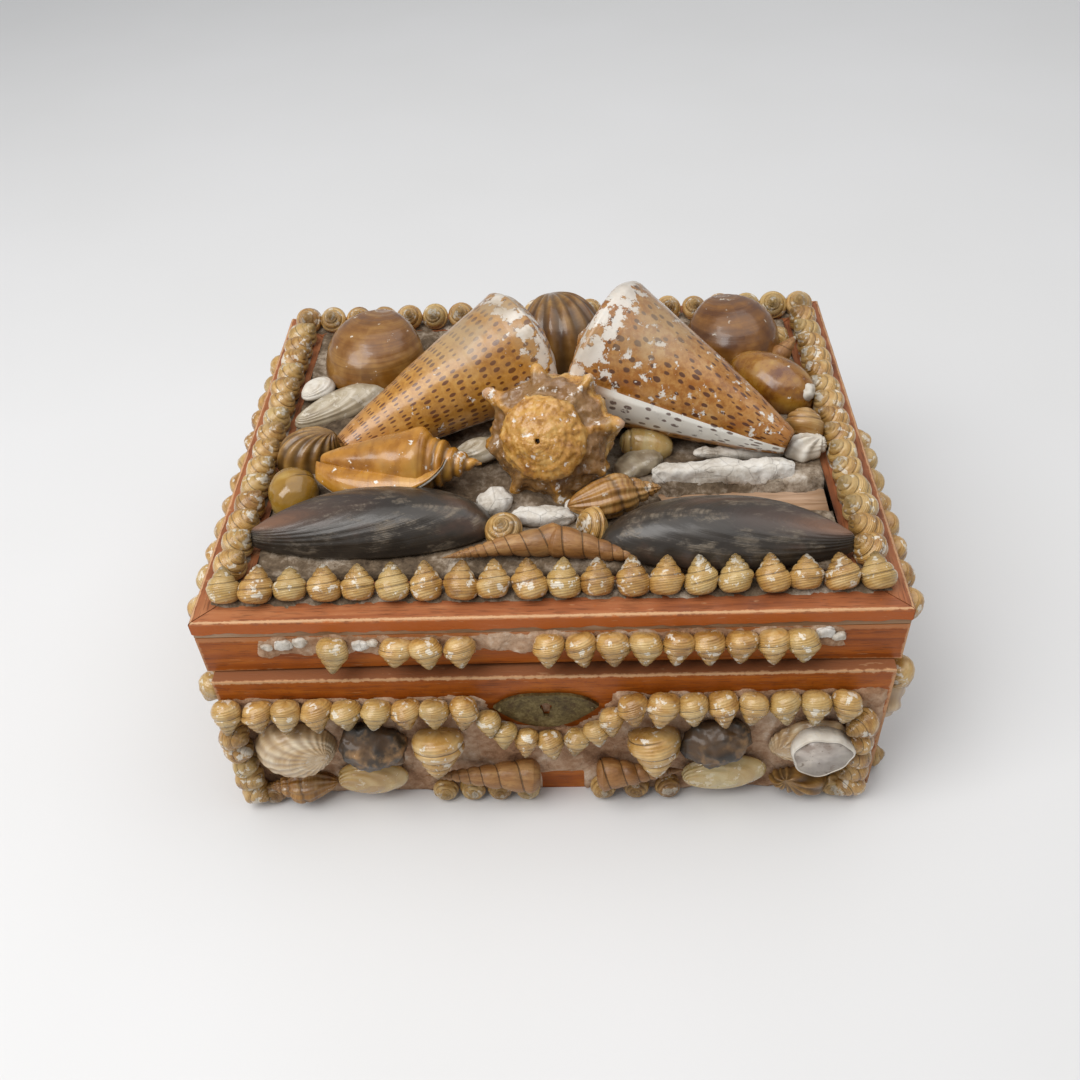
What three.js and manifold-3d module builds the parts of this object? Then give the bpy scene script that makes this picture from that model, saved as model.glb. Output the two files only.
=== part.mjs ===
// A seaside shell box: a veneered wooden box whose lid and sides are covered with sea shells bedded in plaster.
// Millimetres, +Z up. The origin is the middle of the case's underside; the front, with the lock, faces -Y.
import * as THREE from "three";
import { ConvexGeometry } from "three/addons/geometries/ConvexGeometry.js";
import { mergeVertices } from "three/addons/utils/BufferGeometryUtils.js";
import Module from "manifold-3d";

const wasm = await Module();
wasm.setup();

// Driving dimensions
const caseWidth = 196;
const caseDepth = 163;
const caseHeight = 55;
const lidWidth = 200;
const lidDepth = 159;
const lidHeight = 21;
const wall = 6; // thickness of every board
const gap = 0.35; // between boards, and between a board and what lies on it
const clearance = 0.6; // between shells that touch
const lidBow = 1.3; // how far the lid's front board has warped up in the middle
const facing = { width: 15, thickness: 1.5, mitre: 0.25 }; // the mitred frame on top of the lid
const bedRise = 3; // plaster on the lid, above its frame
const smallShell = 9.4; // pitch of the small top shells in a row

// Places that follow from them
const caseFront = -caseDepth / 2;
const caseBack = caseDepth / 2;
const lidBack = caseBack;
const lidFront = lidBack - lidDepth;
const lidBottom = caseHeight + gap;
const lidTop = caseHeight + lidHeight;
const bedTop = lidTop + bedRise;
const lidBoardTop = lidTop - facing.thickness - gap;

const wood = { color: 0xb35a26, roughness: 0.45, metalness: 0 };
const innerWood = { color: 0x8a5633, roughness: 0.7, metalness: 0 };
const plaster = { color: 0xb9afa2, roughness: 0.95, metalness: 0 };
const creamShell = { color: 0xc9a05a, roughness: 0.35, metalness: 0 };
const amberShell = { color: 0xc17d22, roughness: 0.35, metalness: 0 };
const spottedShell = { color: 0xb9792f, roughness: 0.3, metalness: 0 };
const brownShell = { color: 0x8a5a2c, roughness: 0.4, metalness: 0 };
const darkShell = { color: 0x2b2a2c, roughness: 0.35, metalness: 0 };
const paleShell = { color: 0xc4b58a, roughness: 0.3, metalness: 0 };
const brass = { color: 0x7a6c45, roughness: 0.5, metalness: 0.9 };

// ---- Solids -------------------------------------------------------------------------------------------------

// A closed three.js geometry, moved by a matrix and grown all over by a thickness, as a manifold solid.
function solidFrom(geometry, matrix = new THREE.Matrix4(), growth = 0) {
  const bare = new THREE.BufferGeometry();
  bare.setAttribute("position", geometry.getAttribute("position").clone());
  if (geometry.index) bare.setIndex(geometry.index.clone());
  bare.applyMatrix4(matrix);
  const merged = mergeVertices(bare, 1e-4);
  if (growth) grow(merged, growth);
  return new wasm.Manifold(
    new wasm.Mesh({
      numProp: 3,
      vertProperties: new Float32Array(merged.attributes.position.array),
      triVerts: new Uint32Array(merged.index.array),
    }),
  );
}

// Moves every vertex of a merged geometry outward along its normal.
function grow(geometry, thickness) {
  geometry.computeVertexNormals();
  const place = geometry.getAttribute("position");
  const normal = geometry.getAttribute("normal");
  const point = new THREE.Vector3();
  const outward = new THREE.Vector3();
  for (let i = 0; i < place.count; i++) {
    point.fromBufferAttribute(place, i).addScaledVector(outward.fromBufferAttribute(normal, i), thickness);
    place.setXYZ(i, point.x, point.y, point.z);
  }
}

function geometryFrom(solid) {
  const mesh = solid.getMesh();
  const geometry = new THREE.BufferGeometry();
  geometry.setAttribute("position", new THREE.BufferAttribute(mesh.vertProperties, 3));
  geometry.setIndex(new THREE.BufferAttribute(mesh.triVerts, 1));
  geometry.computeVertexNormals();
  return geometry;
}

const fuse = (solids) => solids.reduce((all, one) => all.add(one));

// The biggest body of a solid, in case a cut left crumbs.
function mainBody(solid) {
  return solid.decompose().sort((a, b) => b.volume() - a.volume())[0];
}

function block(x0, x1, y0, y1, z0, z1) {
  const geometry = new THREE.BoxGeometry(x1 - x0, y1 - y0, z1 - z0);
  return solidFrom(
    geometry,
    new THREE.Matrix4().makeTranslation((x0 + x1) / 2, (y0 + y1) / 2, (z0 + z1) / 2),
  );
}

// A matrix that puts a shell's centre at a point, with its +Z axis along a direction and a spin about it.
function stand(at, axis, spin = 0) {
  const up = new THREE.Vector3(0, 0, 1);
  const turn = new THREE.Quaternion().setFromUnitVectors(up, new THREE.Vector3(...axis).normalize());
  const about = new THREE.Quaternion().setFromAxisAngle(up, THREE.MathUtils.degToRad(spin));
  return new THREE.Matrix4().compose(
    new THREE.Vector3(...at),
    turn.multiply(about),
    new THREE.Vector3(1, 1, 1),
  );
}

// The matrix of a valve that lies open side down: its length runs at an angle to +X, and it may tip.
function lay(at, heading = 0, tip = 0, roll = 0) {
  const turn = new THREE.Euler(...[roll, tip, heading].map(THREE.MathUtils.degToRad), "ZYX");
  return new THREE.Matrix4().compose(
    new THREE.Vector3(...at),
    new THREE.Quaternion().setFromEuler(turn),
    new THREE.Vector3(1, 1, 1),
  );
}

// The same, for a valve glued on an upright face: its dome points along the face's outward normal.
function onFace(at, outward, heading = 0) {
  const normal = new THREE.Vector3(...outward);
  const side = new THREE.Vector3(0, 0, 1).cross(normal).normalize();
  const basis = new THREE.Matrix4().makeBasis(side, new THREE.Vector3(0, 0, 1), normal);
  const turn = new THREE.Matrix4().makeRotationZ(THREE.MathUtils.degToRad(heading));
  return new THREE.Matrix4().makeTranslation(...at).multiply(basis).multiply(turn);
}

// ---- Shell forms, as closed geometries centred on their own middle -------------------------------------------------

const lathe = (points, sides) =>
  new THREE.LatheGeometry(points.map(([r, z]) => new THREE.Vector2(r, z)), sides).rotateX(Math.PI / 2);

// Moves every vertex of a closed geometry by a function of its place.
function moulded(geometry, move) {
  const place = geometry.getAttribute("position");
  const point = new THREE.Vector3();
  for (let i = 0; i < place.count; i++) {
    point.fromBufferAttribute(place, i);
    move(point);
    place.setXYZ(i, point.x, point.y, point.z);
  }
  return geometry;
}

// A small top shell: a low base under a pointed spire.
const topShell = (diameter, height, sides = 6) =>
  lathe([[0, -0.42 * height], [diameter / 2, -0.14 * height], [0, 0.58 * height]], sides);

// A big top shell with a keel at each whorl.
function steppedTop(diameter, height, sides = 12) {
  const r = diameter / 2;
  return lathe(
    [
      [0, -0.42 * height],
      [0.8 * r, -0.4 * height],
      [r, -0.2 * height],
      [0.95 * r, 0.02 * height],
      [0.68 * r, 0.08 * height],
      [0.6 * r, 0.28 * height],
      [0.38 * r, 0.33 * height],
      [0, 0.58 * height],
    ],
    sides,
  );
}

// A turret: a long spire of whorls, each a little narrower than the last.
function turretShell(diameter, length, whorls = 5, sides = 8) {
  const points = [[0, -length / 2]];
  for (let i = 0; i < whorls; i++) {
    const low = i / whorls;
    const width = (diameter / 2) * (1 - 0.86 * low);
    points.push([0.86 * width, length * (low - 0.5 + 0.02)]);
    points.push([width, length * (low - 0.5 + 0.55 / whorls)]);
  }
  points.push([0, length / 2]);
  return lathe(points, sides);
}

// A cone shell: gently bowed flanks from the narrow end up to a round shoulder, and a low spire.
function coneShell(diameter, length, narrow, sides = 16) {
  const r = diameter / 2;
  const low = -length / 2;
  const shoulder = low + 0.86 * length;
  const points = [[0, low]];
  for (let i = 0; i <= 4; i++) {
    const t = i / 4;
    points.push([r * (narrow + (1 - narrow) * t ** 0.86), low + t * (shoulder - low)]);
  }
  points.push([0.84 * r, low + 0.91 * length], [0.36 * r, low + 0.95 * length], [0, low + length]);
  return lathe(points, sides);
}

// The crown shell: a domed spire in a ring of blunt horns, on a body that narrows to its lower end.
function crownShell(diameter, horns = 8) {
  const r = diameter / 2;
  const sides = horns * 3;
  const points = [
    [0, -1.15 * r],
    [0.35 * r, -1.05 * r],
    [0.78 * r, -0.45 * r],
    [0.84 * r, -0.05 * r],
    [0.64 * r, 0.16 * r],
    [0.56 * r, 0.36 * r],
    [0.36 * r, 0.56 * r],
    [0, 0.68 * r],
  ];
  return moulded(lathe(points, sides), (p) => {
    const reach = Math.hypot(p.x, p.y);
    const wave = Math.max(0, Math.cos(horns * Math.atan2(p.y, p.x))) ** 2;
    const ring = Math.exp(-(((p.z + 0.12 * r) / (0.3 * r)) ** 2)) * (reach > 0.5 * r ? 1 : 0);
    const swell = 1 + 0.24 * wave * ring;
    p.x *= swell;
    p.y *= swell;
    p.z += 0.1 * r * wave * ring;
  });
}

// A conch: a spindle with a high spire, and the flared lip beside its mouth.
function conchShell(diameter, length) {
  const r = diameter / 2;
  const spindle = lathe(
    [
      [0, -0.5 * length],
      [0.2 * r, -0.48 * length],
      [0.52 * r, -0.28 * length],
      [0.8 * r, -0.04 * length],
      [0.98 * r, 0.14 * length],
      [0.72 * r, 0.22 * length],
      [0.62 * r, 0.28 * length],
      [0.4 * r, 0.34 * length],
      [0.34 * r, 0.39 * length],
      [0, 0.52 * length],
    ],
    10,
  );
  const lip = moulded(new THREE.SphereGeometry(1, 8, 5), (p) => {
    p.set(p.x * 0.95 * r + 0.62 * r, p.y * 0.5 * r - 0.35 * r, p.z * 0.4 * length - 0.08 * length);
  });
  return geometryFrom(solidFrom(spindle).add(solidFrom(lip)));
}

// A valve glued open side down: an egg outline with its beak on the -X side, a dome, and ribs on its rim.
function valve(length, width, height, { beak = 0.25, ribs = 0, rings = 4, sides = 16, peak = -0.2 } = {}) {
  const dome = new THREE.SphereGeometry(1, sides, 2 * rings).rotateX(Math.PI / 2);
  return moulded(dome, (p) => {
    const angle = Math.atan2(p.y, p.x);
    const reach = Math.hypot(p.x, p.y);
    const egg = 1 - beak * Math.max(0, -Math.cos(angle)) * Math.abs(Math.sin(angle));
    const rib = 1 + (ribs ? 0.03 * Math.cos(ribs * angle) * reach : 0);
    const rise = Math.max(0, p.z);
    const lean = peak * (1 - reach);
    p.x = ((reach * Math.cos(angle) + lean) * rib * length) / 2;
    p.y = (reach * Math.sin(angle) * egg * rib * width) / 2;
    p.z = rise ** 0.8 * height - (rise === 0 ? 0.6 : 0);
  });
}

// A mussel valve: a long drop, pointed at its beak on the -X side, straight along -Y and full along +Y.
function musselValve(length, width, height) {
  const dome = new THREE.SphereGeometry(1, 16, 8).rotateX(Math.PI / 2);
  return moulded(dome, (p) => {
    const beak = Math.max(0, -p.x);
    const side = p.y > 0 ? 1.25 - 0.5 * beak ** 2 : 0.75 - 0.1 * beak;
    const rise = Math.max(0, p.z);
    p.y = (p.y * side * width) / 2 - (0.12 * width * beak ** 2) / 2;
    p.x = (p.x * length) / 2;
    p.z = rise ** 0.75 * height * (1 - 0.25 * beak) - (rise === 0 ? 0.6 : 0);
  });
}

// A smooth egg, such as a cowrie or a flat periwinkle, with a flattened underside.
function eggShell(length, width, height, sides = 10) {
  return moulded(new THREE.SphereGeometry(1, sides, 6).rotateZ(Math.PI / 2), (p) => {
    p.set((p.x * length) / 2, (p.y * width * (1 - 0.12 * p.x)) / 2, (Math.max(p.z, -0.45) * height) / 2);
  });
}

// A round snail with a low spire.
function roundSnail(diameter, sides = 9) {
  const r = diameter / 2;
  return lathe([[0, -0.6 * r], [0.7 * r, -0.55 * r], [r, -0.05 * r], [0.7 * r, 0.42 * r], [0, 0.8 * r]], sides);
}

// A flat spiral of the smallest kind.
function smallSpiral(diameter) {
  const r = diameter / 2;
  return lathe([[0, -0.6 * r], [r, -0.1 * r], [0, 0.6 * r]], 6);
}

// ---- Placing pieces so that none runs into another ---------------------------------------------------------------

const box = new THREE.Group();
const caseGroup = new THREE.Group();
const lidGroup = new THREE.Group();
box.add(caseGroup, lidGroup);

function addPiece(group, name, solid, look) {
  const mesh = new THREE.Mesh(geometryFrom(solid), new THREE.MeshStandardMaterial(look));
  mesh.name = name;
  group.add(mesh);
}

// Shells already in place, each grown by the clearance, that later pieces are cut back from.
const taken = [];

function clearOf(solid, others = taken) {
  return mainBody(others.reduce((rest, other) => rest.subtract(other), solid));
}

// Sets a shell in its place, cuts it back from its neighbours and from the ground behind it.
function setShell(group, name, geometry, matrix, look, ground) {
  const solid = clearOf(ground(solidFrom(geometry, matrix)));
  addPiece(group, name, solid, look);
  taken.push(solidFrom(geometry, matrix, clearance));
}

const reach = 400; // longer than anything here
const aboveBed = (solid) => solid.subtract(block(-reach, reach, -reach, reach, -reach, bedTop + gap));
const beforeCase = (solid) =>
  solid
    .subtract(block(-reach, reach, frontY - gap, reach, -reach, reach))
    .subtract(block(-reach, reach, -reach, reach, -reach, 0.4));

// A small shell seated on a flat face: what would sink in beyond the face's offset along its normal is flattened.
function seated(geometry, matrix, [normal, offset], growth = 0) {
  const place = geometry.getAttribute("position");
  const outward = new THREE.Vector3(...normal);
  const points = Array.from({ length: place.count }, (_, i) => {
    const point = new THREE.Vector3().fromBufferAttribute(place, i).applyMatrix4(matrix);
    return point.addScaledVector(outward, Math.max(0, offset - point.dot(outward)));
  });
  return solidFrom(new ConvexGeometry(points), undefined, growth);
}

const spread = (from, to, count) =>
  Array.from({ length: count }, (_, i) => from + ((to - from) * i) / (count - 1));

// ---- The case ----------------------------------------------------------------------------------------------------

const faceBed = 1; // plaster between a face and its shells
const seatDepth = 0.5; // how far small shells sink into it
const halfWidth = caseWidth / 2;
const lockX = -1.5;
const lockZ = caseHeight - 13.3;
const lockWidth = 31;
const lockHeight = 15;
const keyholeRadius = 1.8;

// The keyhole: a round hole over a slot, as a solid that runs through from the front.
function keyhole(depth) {
  const outline = new THREE.Shape();
  outline.absarc(0, 0, keyholeRadius, -0.28 * Math.PI, 1.28 * Math.PI, false);
  outline.lineTo(-0.75, -4.2);
  outline.lineTo(0.75, -4.2);
  const geometry = new THREE.ExtrudeGeometry(outline, { depth, bevelEnabled: false, curveSegments: 8 });
  geometry.rotateX(Math.PI / 2).translate(lockX, caseFront + depth - 3, lockZ + 1);
  return solidFrom(geometry);
}

// The lock plate: a flat brass lens, fuller below than above.
function lockPlate(thickness) {
  const outline = new THREE.Shape();
  outline.moveTo(-lockWidth / 2, 1);
  outline.quadraticCurveTo(-lockWidth / 3, lockHeight / 2, 0, 0.42 * lockHeight);
  outline.quadraticCurveTo(lockWidth / 3, lockHeight / 2, lockWidth / 2, 1);
  outline.quadraticCurveTo(lockWidth / 4, -0.56 * lockHeight, 0, -0.56 * lockHeight);
  outline.quadraticCurveTo(-lockWidth / 4, -0.56 * lockHeight, -lockWidth / 2, 1);
  const geometry = new THREE.ExtrudeGeometry(outline, { depth: thickness, bevelEnabled: false, curveSegments: 5 });
  return geometry.rotateX(Math.PI / 2).translate(lockX, caseFront - gap, lockZ);
}

function caseBoards() {
  const side = halfWidth;
  const floorTop = wall;
  const frontBoard = block(-side, side, caseFront, caseFront + wall, 0, caseHeight).subtract(keyhole(7));
  addPiece(caseGroup, "case_front_board", frontBoard, wood);
  addPiece(caseGroup, "case_back_board", block(-side, side, caseBack - wall, caseBack, 0, caseHeight), wood);
  const between = [caseFront + wall + gap, caseBack - wall - gap];
  addPiece(caseGroup, "case_left_board", block(-side, -side + wall, ...between, 0, caseHeight), wood);
  addPiece(caseGroup, "case_right_board", block(side - wall, side, ...between, 0, caseHeight), wood);
  const inside = side - wall - gap;
  addPiece(caseGroup, "case_floor_board", block(-inside, inside, ...between, 0, floorTop), innerWood);
  addPiece(caseGroup, "lock_plate", solidFrom(lockPlate(1)).subtract(keyhole(8)), brass);
  taken.push(solidFrom(lockPlate(6), undefined, clearance));
  const lockBack = caseFront + wall + gap;
  addPiece(caseGroup, "lock_case", block(lockX - 16, lockX + 16, lockBack, lockBack + 4, lockZ - 9, caseHeight - 1), brass);
}

// The front's field: a thin bed of plaster with every small shell that is set in it. A row hangs apex down under
// the rim and dips round the lock, a column runs up each corner, and flat spirals line the foot.
const fieldTop = caseHeight - 8;
const hangZ = caseHeight - 10.3;
const frontY = caseFront - gap - faceBed;
const dip = { x: -0.5, width: 19, depth: 16 };

function frontPlaces() {
  const row = [...spread(-95, -25, 9), ...spread(23.5, 67, 6), 76, 85].map((x) => [x, hangZ]);
  const arc = spread(200, 340, 7).map((degrees) => {
    const turn = THREE.MathUtils.degToRad(degrees);
    return [dip.x + dip.width * Math.cos(turn), hangZ + dip.depth * Math.sin(turn)];
  });
  return [...row, ...arc].map(([x, z]) => [x, frontY - 2.4, z]);
}

function caseFrontField() {
  const side = halfWidth - 1;
  const outline = new THREE.Shape();
  outline.moveTo(-side, 1.5);
  outline.lineTo(-5, 1.5);
  outline.lineTo(-5, 9);
  outline.lineTo(9, 9);
  outline.lineTo(9, 1.5);
  outline.lineTo(side, 1.5);
  outline.lineTo(side, fieldTop);
  outline.lineTo(dip.x + dip.width + 1, fieldTop);
  outline.absellipse(dip.x, fieldTop, dip.width + 1, dip.depth, 0, Math.PI, true);
  outline.lineTo(-side, fieldTop);
  const sheet = new THREE.ExtrudeGeometry(outline, { depth: faceBed, bevelEnabled: false, curveSegments: 5 });
  sheet.rotateX(Math.PI / 2).translate(0, caseFront - gap, 0);
  const hanging = frontPlaces().map((at, i) => [
    topShell(8.4, 10),
    stand(at, [0.2 * Math.sin(2.3 * i), -0.5, -0.86], 25 * i),
  ]);
  const corners = [-95.3, 90.5].flatMap((x) =>
    spread(35, 6, 5).map((z, i) => [
      topShell(9, 9.5),
      stand([x, frontY - 2.2, z], [-x / 110, -0.6, 0.3 * Math.sin(i)], 30 * i),
    ]),
  );
  const foot = [-90, ...spread(-35, -9, 4), ...spread(15, 35, 3), 86].map((x, i) => [
    smallSpiral(7.4),
    stand([x, frontY - 1.2, 4.2], [0.15 * Math.sin(3 * i), -1, 0.1], 20 * i),
  ]);
  const small = [...hanging, ...corners, ...foot];
  const seat = [[0, -1, 0], -frontY - seatDepth];
  const grown = (growth) => small.map(([geometry, matrix]) => seated(geometry, matrix, seat, growth));
  addPiece(caseGroup, "case_front_field", clearOf(fuse([solidFrom(sheet), ...grown(0)])), creamShell);
  taken.push(fuse(grown(clearance)));
}

// The bigger shells in the middle of the front, much the same on each side of the lock.
function caseFrontShells() {
  const out = [0, -1, 0];
  const y = frontY - gap;
  const deep = y - 3.4;
  const set = (name, geometry, matrix, look) => setShell(caseGroup, name, geometry, matrix, look, beforeCase);
  set("case_cockle", valve(25, 22, 8.5, { ribs: 16 }), onFace([-78.5, y, 26.5], out, 190), paleShell);
  set("case_dark_shell_left", eggShell(21, 17, 13), onFace([-54, y - 3.4, 29.5], out, 20), darkShell);
  set("case_dark_shell_right", eggShell(20, 16, 13), onFace([48.5, y - 3.4, 28], out, -18), darkShell);
  set("case_big_top_left", steppedTop(15.5, 17), stand([-34.6, deep, 27], [-0.05, -0.45, -0.9]), creamShell);
  set("case_big_top_right", steppedTop(15.5, 17), stand([30.4, deep, 26], [0.05, -0.45, -0.9]), creamShell);
  set("case_open_valve", valve(25, 20, 8), onFace([76.5, y, 26], out, 14), paleShell);
  set("case_jingle_left", valve(22, 15, 5, { beak: 0 }), onFace([-57, y, 11.5], out, 0), paleShell);
  set("case_jingle_right", valve(26, 15, 5, { beak: 0 }), onFace([52, y, 11.5], out, 5), paleShell);
  set("case_turret_left", turretShell(10, 35), stand([-22, deep, 14], [-1, -0.05, 0.12]), brownShell);
  set("case_turret_right", turretShell(9.4, 26), stand([26, deep, 14.5], [1, 0.02, 0.08]), brownShell);
  set("case_whelk", turretShell(10.5, 21, 4), stand([-79.5, deep + 0.6, 8.8], [-1, -0.1, 0.1]), brownShell);
  set("case_ark", valve(18, 10, 6.5, { ribs: 8 }), onFace([75.4, y, 6.6], out, -8), brownShell);
}

// A side or the back: one bed of plaster with a hanging row, a foot row and some bigger shells on it.
function caseFacing(name, halfSpan, outward, length, shells) {
  const frame = onFace(outward.map((part) => part * halfSpan), outward);
  const local = (x, z, out) => new THREE.Vector3(x, z, out).applyMatrix4(frame).toArray();
  const place = (x, z, out) => frame.clone().multiply(new THREE.Matrix4().makeTranslation(x, z, out));
  const end = length / 2 - 5;
  const top = shells.rowZ + 2.3;
  const sheet = solidFrom(new THREE.BoxGeometry(length, top - 2, faceBed), place(0, top / 2 + 1, gap + faceBed / 2));
  const seat = [outward, halfSpan + gap + faceBed - seatDepth];
  const hanging = spread(-end, end, shells.hanging).map((x, i) =>
    seated(
      topShell(9, 10.4, 5),
      stand(local(x, shells.rowZ, gap + 3.2), [0.5 * outward[0], 0.5 * outward[1], -0.86], 40 * i),
      seat,
    ),
  );
  const foot = spread(-end, end, shells.foot).map((x, i) =>
    seated(topShell(8, 6.5, 5), stand(local(x, 4.8, gap + 2), [...outward.slice(0, 2), 0.1], 33 * i), seat),
  );
  const big = shells.big.map(([geometry, x, z, turn]) =>
    seated(geometry, onFace(local(x, z, gap + faceBed), outward, turn), seat),
  );
  addPiece(caseGroup, name, clearOf(fuse([sheet, ...hanging, ...foot, ...big])), creamShell);
}

function caseFacings() {
  const length = caseDepth - 5;
  const broad = (ribs) => valve(25, 21, 7, { ribs, sides: 10, rings: 3 });
  const round = () => eggShell(17, 13, 9, 8);
  const left = [[broad(0), -46, 25, 90], [round(), -16, 22, 30], [broad(0), 16, 24, 80], [round(), 47, 22, -20]];
  const right = [[broad(10), -68, 33, 95], [round(), -40, 22, 30], [broad(0), -8, 24, 80], [round(), 24, 22, -20]];
  caseFacing("case_left_shells", halfWidth, [-1, 0, 0], length, { rowZ: hangZ, hanging: 12, foot: 7, big: left });
  caseFacing("case_right_shells", halfWidth, [1, 0, 0], length, { rowZ: hangZ, hanging: 12, foot: 7, big: right });
  const back = [-52, 0, 52].map((x) => [broad(0), x, 24, 90]);
  caseFacing("case_back_shells", caseBack, [0, 1, 0], caseWidth - 5, { rowZ: hangZ, hanging: 12, foot: 6, big: back });
}

// ---- The lid -------------------------------------------------------------------------------------------------------

function lidBoards() {
  const side = lidWidth / 2;
  const under = lidTop - wall;
  const rim = under - gap;
  const bow = new THREE.Shape();
  bow.moveTo(-side, lidBottom);
  bow.quadraticCurveTo(0, lidBottom + 2 * lidBow, side, lidBottom);
  bow.lineTo(side, rim);
  bow.lineTo(-side, rim);
  const front = new THREE.ExtrudeGeometry(bow, { depth: wall, bevelEnabled: false, curveSegments: 10 });
  front.rotateX(Math.PI / 2).translate(0, lidFront + wall, 0);
  addPiece(lidGroup, "lid_front_board", solidFrom(front), wood);
  addPiece(lidGroup, "lid_back_board", block(-side, side, lidBack - wall, lidBack, lidBottom, rim), wood);
  const between = [lidFront + wall + gap, lidBack - wall - gap];
  addPiece(lidGroup, "lid_left_board", block(-side, -side + wall, ...between, lidBottom, rim), wood);
  addPiece(lidGroup, "lid_right_board", block(side - wall, side, ...between, lidBottom, rim), wood);
  addPiece(lidGroup, "lid_top_board", block(-side, side, lidFront, lidBack, under, lidBoardTop), wood);
}

// The frame of thin wood on top of the lid, with its four open mitres.
function lidFacing() {
  const side = lidWidth / 2;
  const { width, thickness, mitre } = facing;
  const acrossX = (outer, inner) => [
    [-side + mitre, outer],
    [side - mitre, outer],
    [side - width - mitre, inner],
    [-side + width + mitre, inner],
  ];
  const acrossY = (outer, inner) => [
    [outer, lidFront + mitre],
    [outer, lidBack - mitre],
    [inner, lidBack - width - mitre],
    [inner, lidFront + width + mitre],
  ];
  for (const [name, corners] of [
    ["lid_facing_front", acrossX(lidFront, lidFront + width)],
    ["lid_facing_back", acrossX(lidBack, lidBack - width)],
    ["lid_facing_left", acrossY(-side, -side + width)],
    ["lid_facing_right", acrossY(side, side - width)],
  ]) {
    const outline = new THREE.Shape(corners.map(([x, y]) => new THREE.Vector2(x, y)));
    const geometry = new THREE.ExtrudeGeometry(outline, { depth: thickness, bevelEnabled: false });
    addPiece(lidGroup, name, solidFrom(geometry.translate(0, 0, lidTop - thickness)), wood);
  }
}

const borderInset = 8.6; // from the lid's edge to the middle of the border's shells
const fieldX = lidWidth / 2 - facing.width - gap;
const fieldFront = lidFront + facing.width + gap;
const fieldBack = lidBack - facing.width - gap;

// Plaster in the field: a low slab with a bare patch on the right, and the ridge left standing behind it.
const barePatch = { left: 33, front: -38, back: -25 };

function lidBed() {
  const outline = new THREE.Shape(
    [
      [-fieldX, fieldFront],
      [fieldX, fieldFront],
      [fieldX, barePatch.front],
      [barePatch.left + 9, barePatch.front + 2],
      [barePatch.left, barePatch.front + 7],
      [barePatch.left + 3, barePatch.back],
      [fieldX, barePatch.back],
      [fieldX, fieldBack],
      [-fieldX, fieldBack],
    ].map(([x, y]) => new THREE.Vector2(x, y)),
  );
  const slab = new THREE.ExtrudeGeometry(outline, { depth: bedTop - lidBoardTop - gap, bevelEnabled: false });
  slab.translate(0, 0, lidBoardTop + gap);
  addPiece(lidGroup, "lid_plaster_bed", solidFrom(slab), plaster);
  const ridge = new THREE.CylinderGeometry(4, 4, 44, 8).rotateZ(Math.PI / 2);
  setShell(lidGroup, "lid_plaster_ridge", ridge, lay([54, -21.5, bedTop], 1), plaster, aboveBed);
}

// The shells in the field, the largest first.
function lidFieldShells() {
  const set = (name, geometry, matrix, look) => setShell(lidGroup, name, geometry, matrix, look, aboveBed);
  const along = (from, to) => to.map((v, i) => v - from[i]);
  const middle = (from, to) => to.map((v, i) => (v + from[i]) / 2);
  const lying = (name, geometry, from, to, look) =>
    set(name, geometry, stand(middle(from, to), along(from, to)), look);
  lying("cone_shell_left", coneShell(39, 77, 0.26), [-63.3, -13.1, 85.9], [-0.5, 29.3, 100], spottedShell);
  lying("cone_shell_right", coneShell(47, 75, 0.16), [73.6, -14.2, 84.8], [10.7, 18.9, 104], spottedShell);
  set("crown_shell", crownShell(44), stand([2.5, -19, 92.5], [-0.22, -0.8, 0.5], 10), amberShell);
  lying("conch_shell", conchShell(21, 50), [-70, -19, 86], [-21, -25, 88], amberShell);
  set("mussel_shell_left", musselValve(72, 27, 12), lay([-51.5, -46, bedTop], 2), darkShell);
  set("mussel_shell_right", musselValve(72, 27, 12), lay([51.5, -47.5, bedTop], 178), darkShell);
  set("clam_shell_left", valve(38, 36, 17), lay([-61.5, 43, bedTop], 90), brownShell);
  set("clam_shell_right", valve(36, 34, 16), lay([64, 47.5, bedTop], 80), brownShell);
  set("cockle_shell_back", valve(34, 32, 18, { ribs: 16 }), lay([4.5, 52, bedTop], 100), brownShell);
  set("cockle_shell_left", valve(21, 16, 10, { ribs: 14 }), lay([-77, -9, bedTop], 20), brownShell);
  set("periwinkle_shell", eggShell(17, 15, 14), lay([-78, -29, bedTop + 3.2], 75), amberShell);
  set("cowrie_shell_right", eggShell(31, 20, 17), lay([75, 20, bedTop + 4], -38), amberShell);
  set("cowrie_shell_middle", eggShell(17, 11, 11), lay([31, -9, bedTop + 2.5], 10), paleShell);
  lying("whelk_shell", turretShell(11.5, 28, 4, 10), [7.5, -39, 85], [33.5, -32, 84], amberShell);
  lying("turret_shell_left", turretShell(8.6, 35, 5, 8), [5, -52, 83], [-29, -58, 81], brownShell);
  lying("turret_shell_right", turretShell(8.6, 34, 5, 8), [6, -54, 83], [35, -60, 81], brownShell);
  set("moon_shell_right", roundSnail(12), stand([81, -4, 84], [-0.3, -0.5, 0.8]), amberShell);
  set("top_shell_left", roundSnail(10.6), stand([-12.5, -49.5, 83], [-0.1, -0.35, 0.9]), amberShell);
  set("top_shell_right", roundSnail(10.6), stand([13, -47.5, 83], [-0.6, -0.3, 0.6]), creamShell);
}

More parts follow.
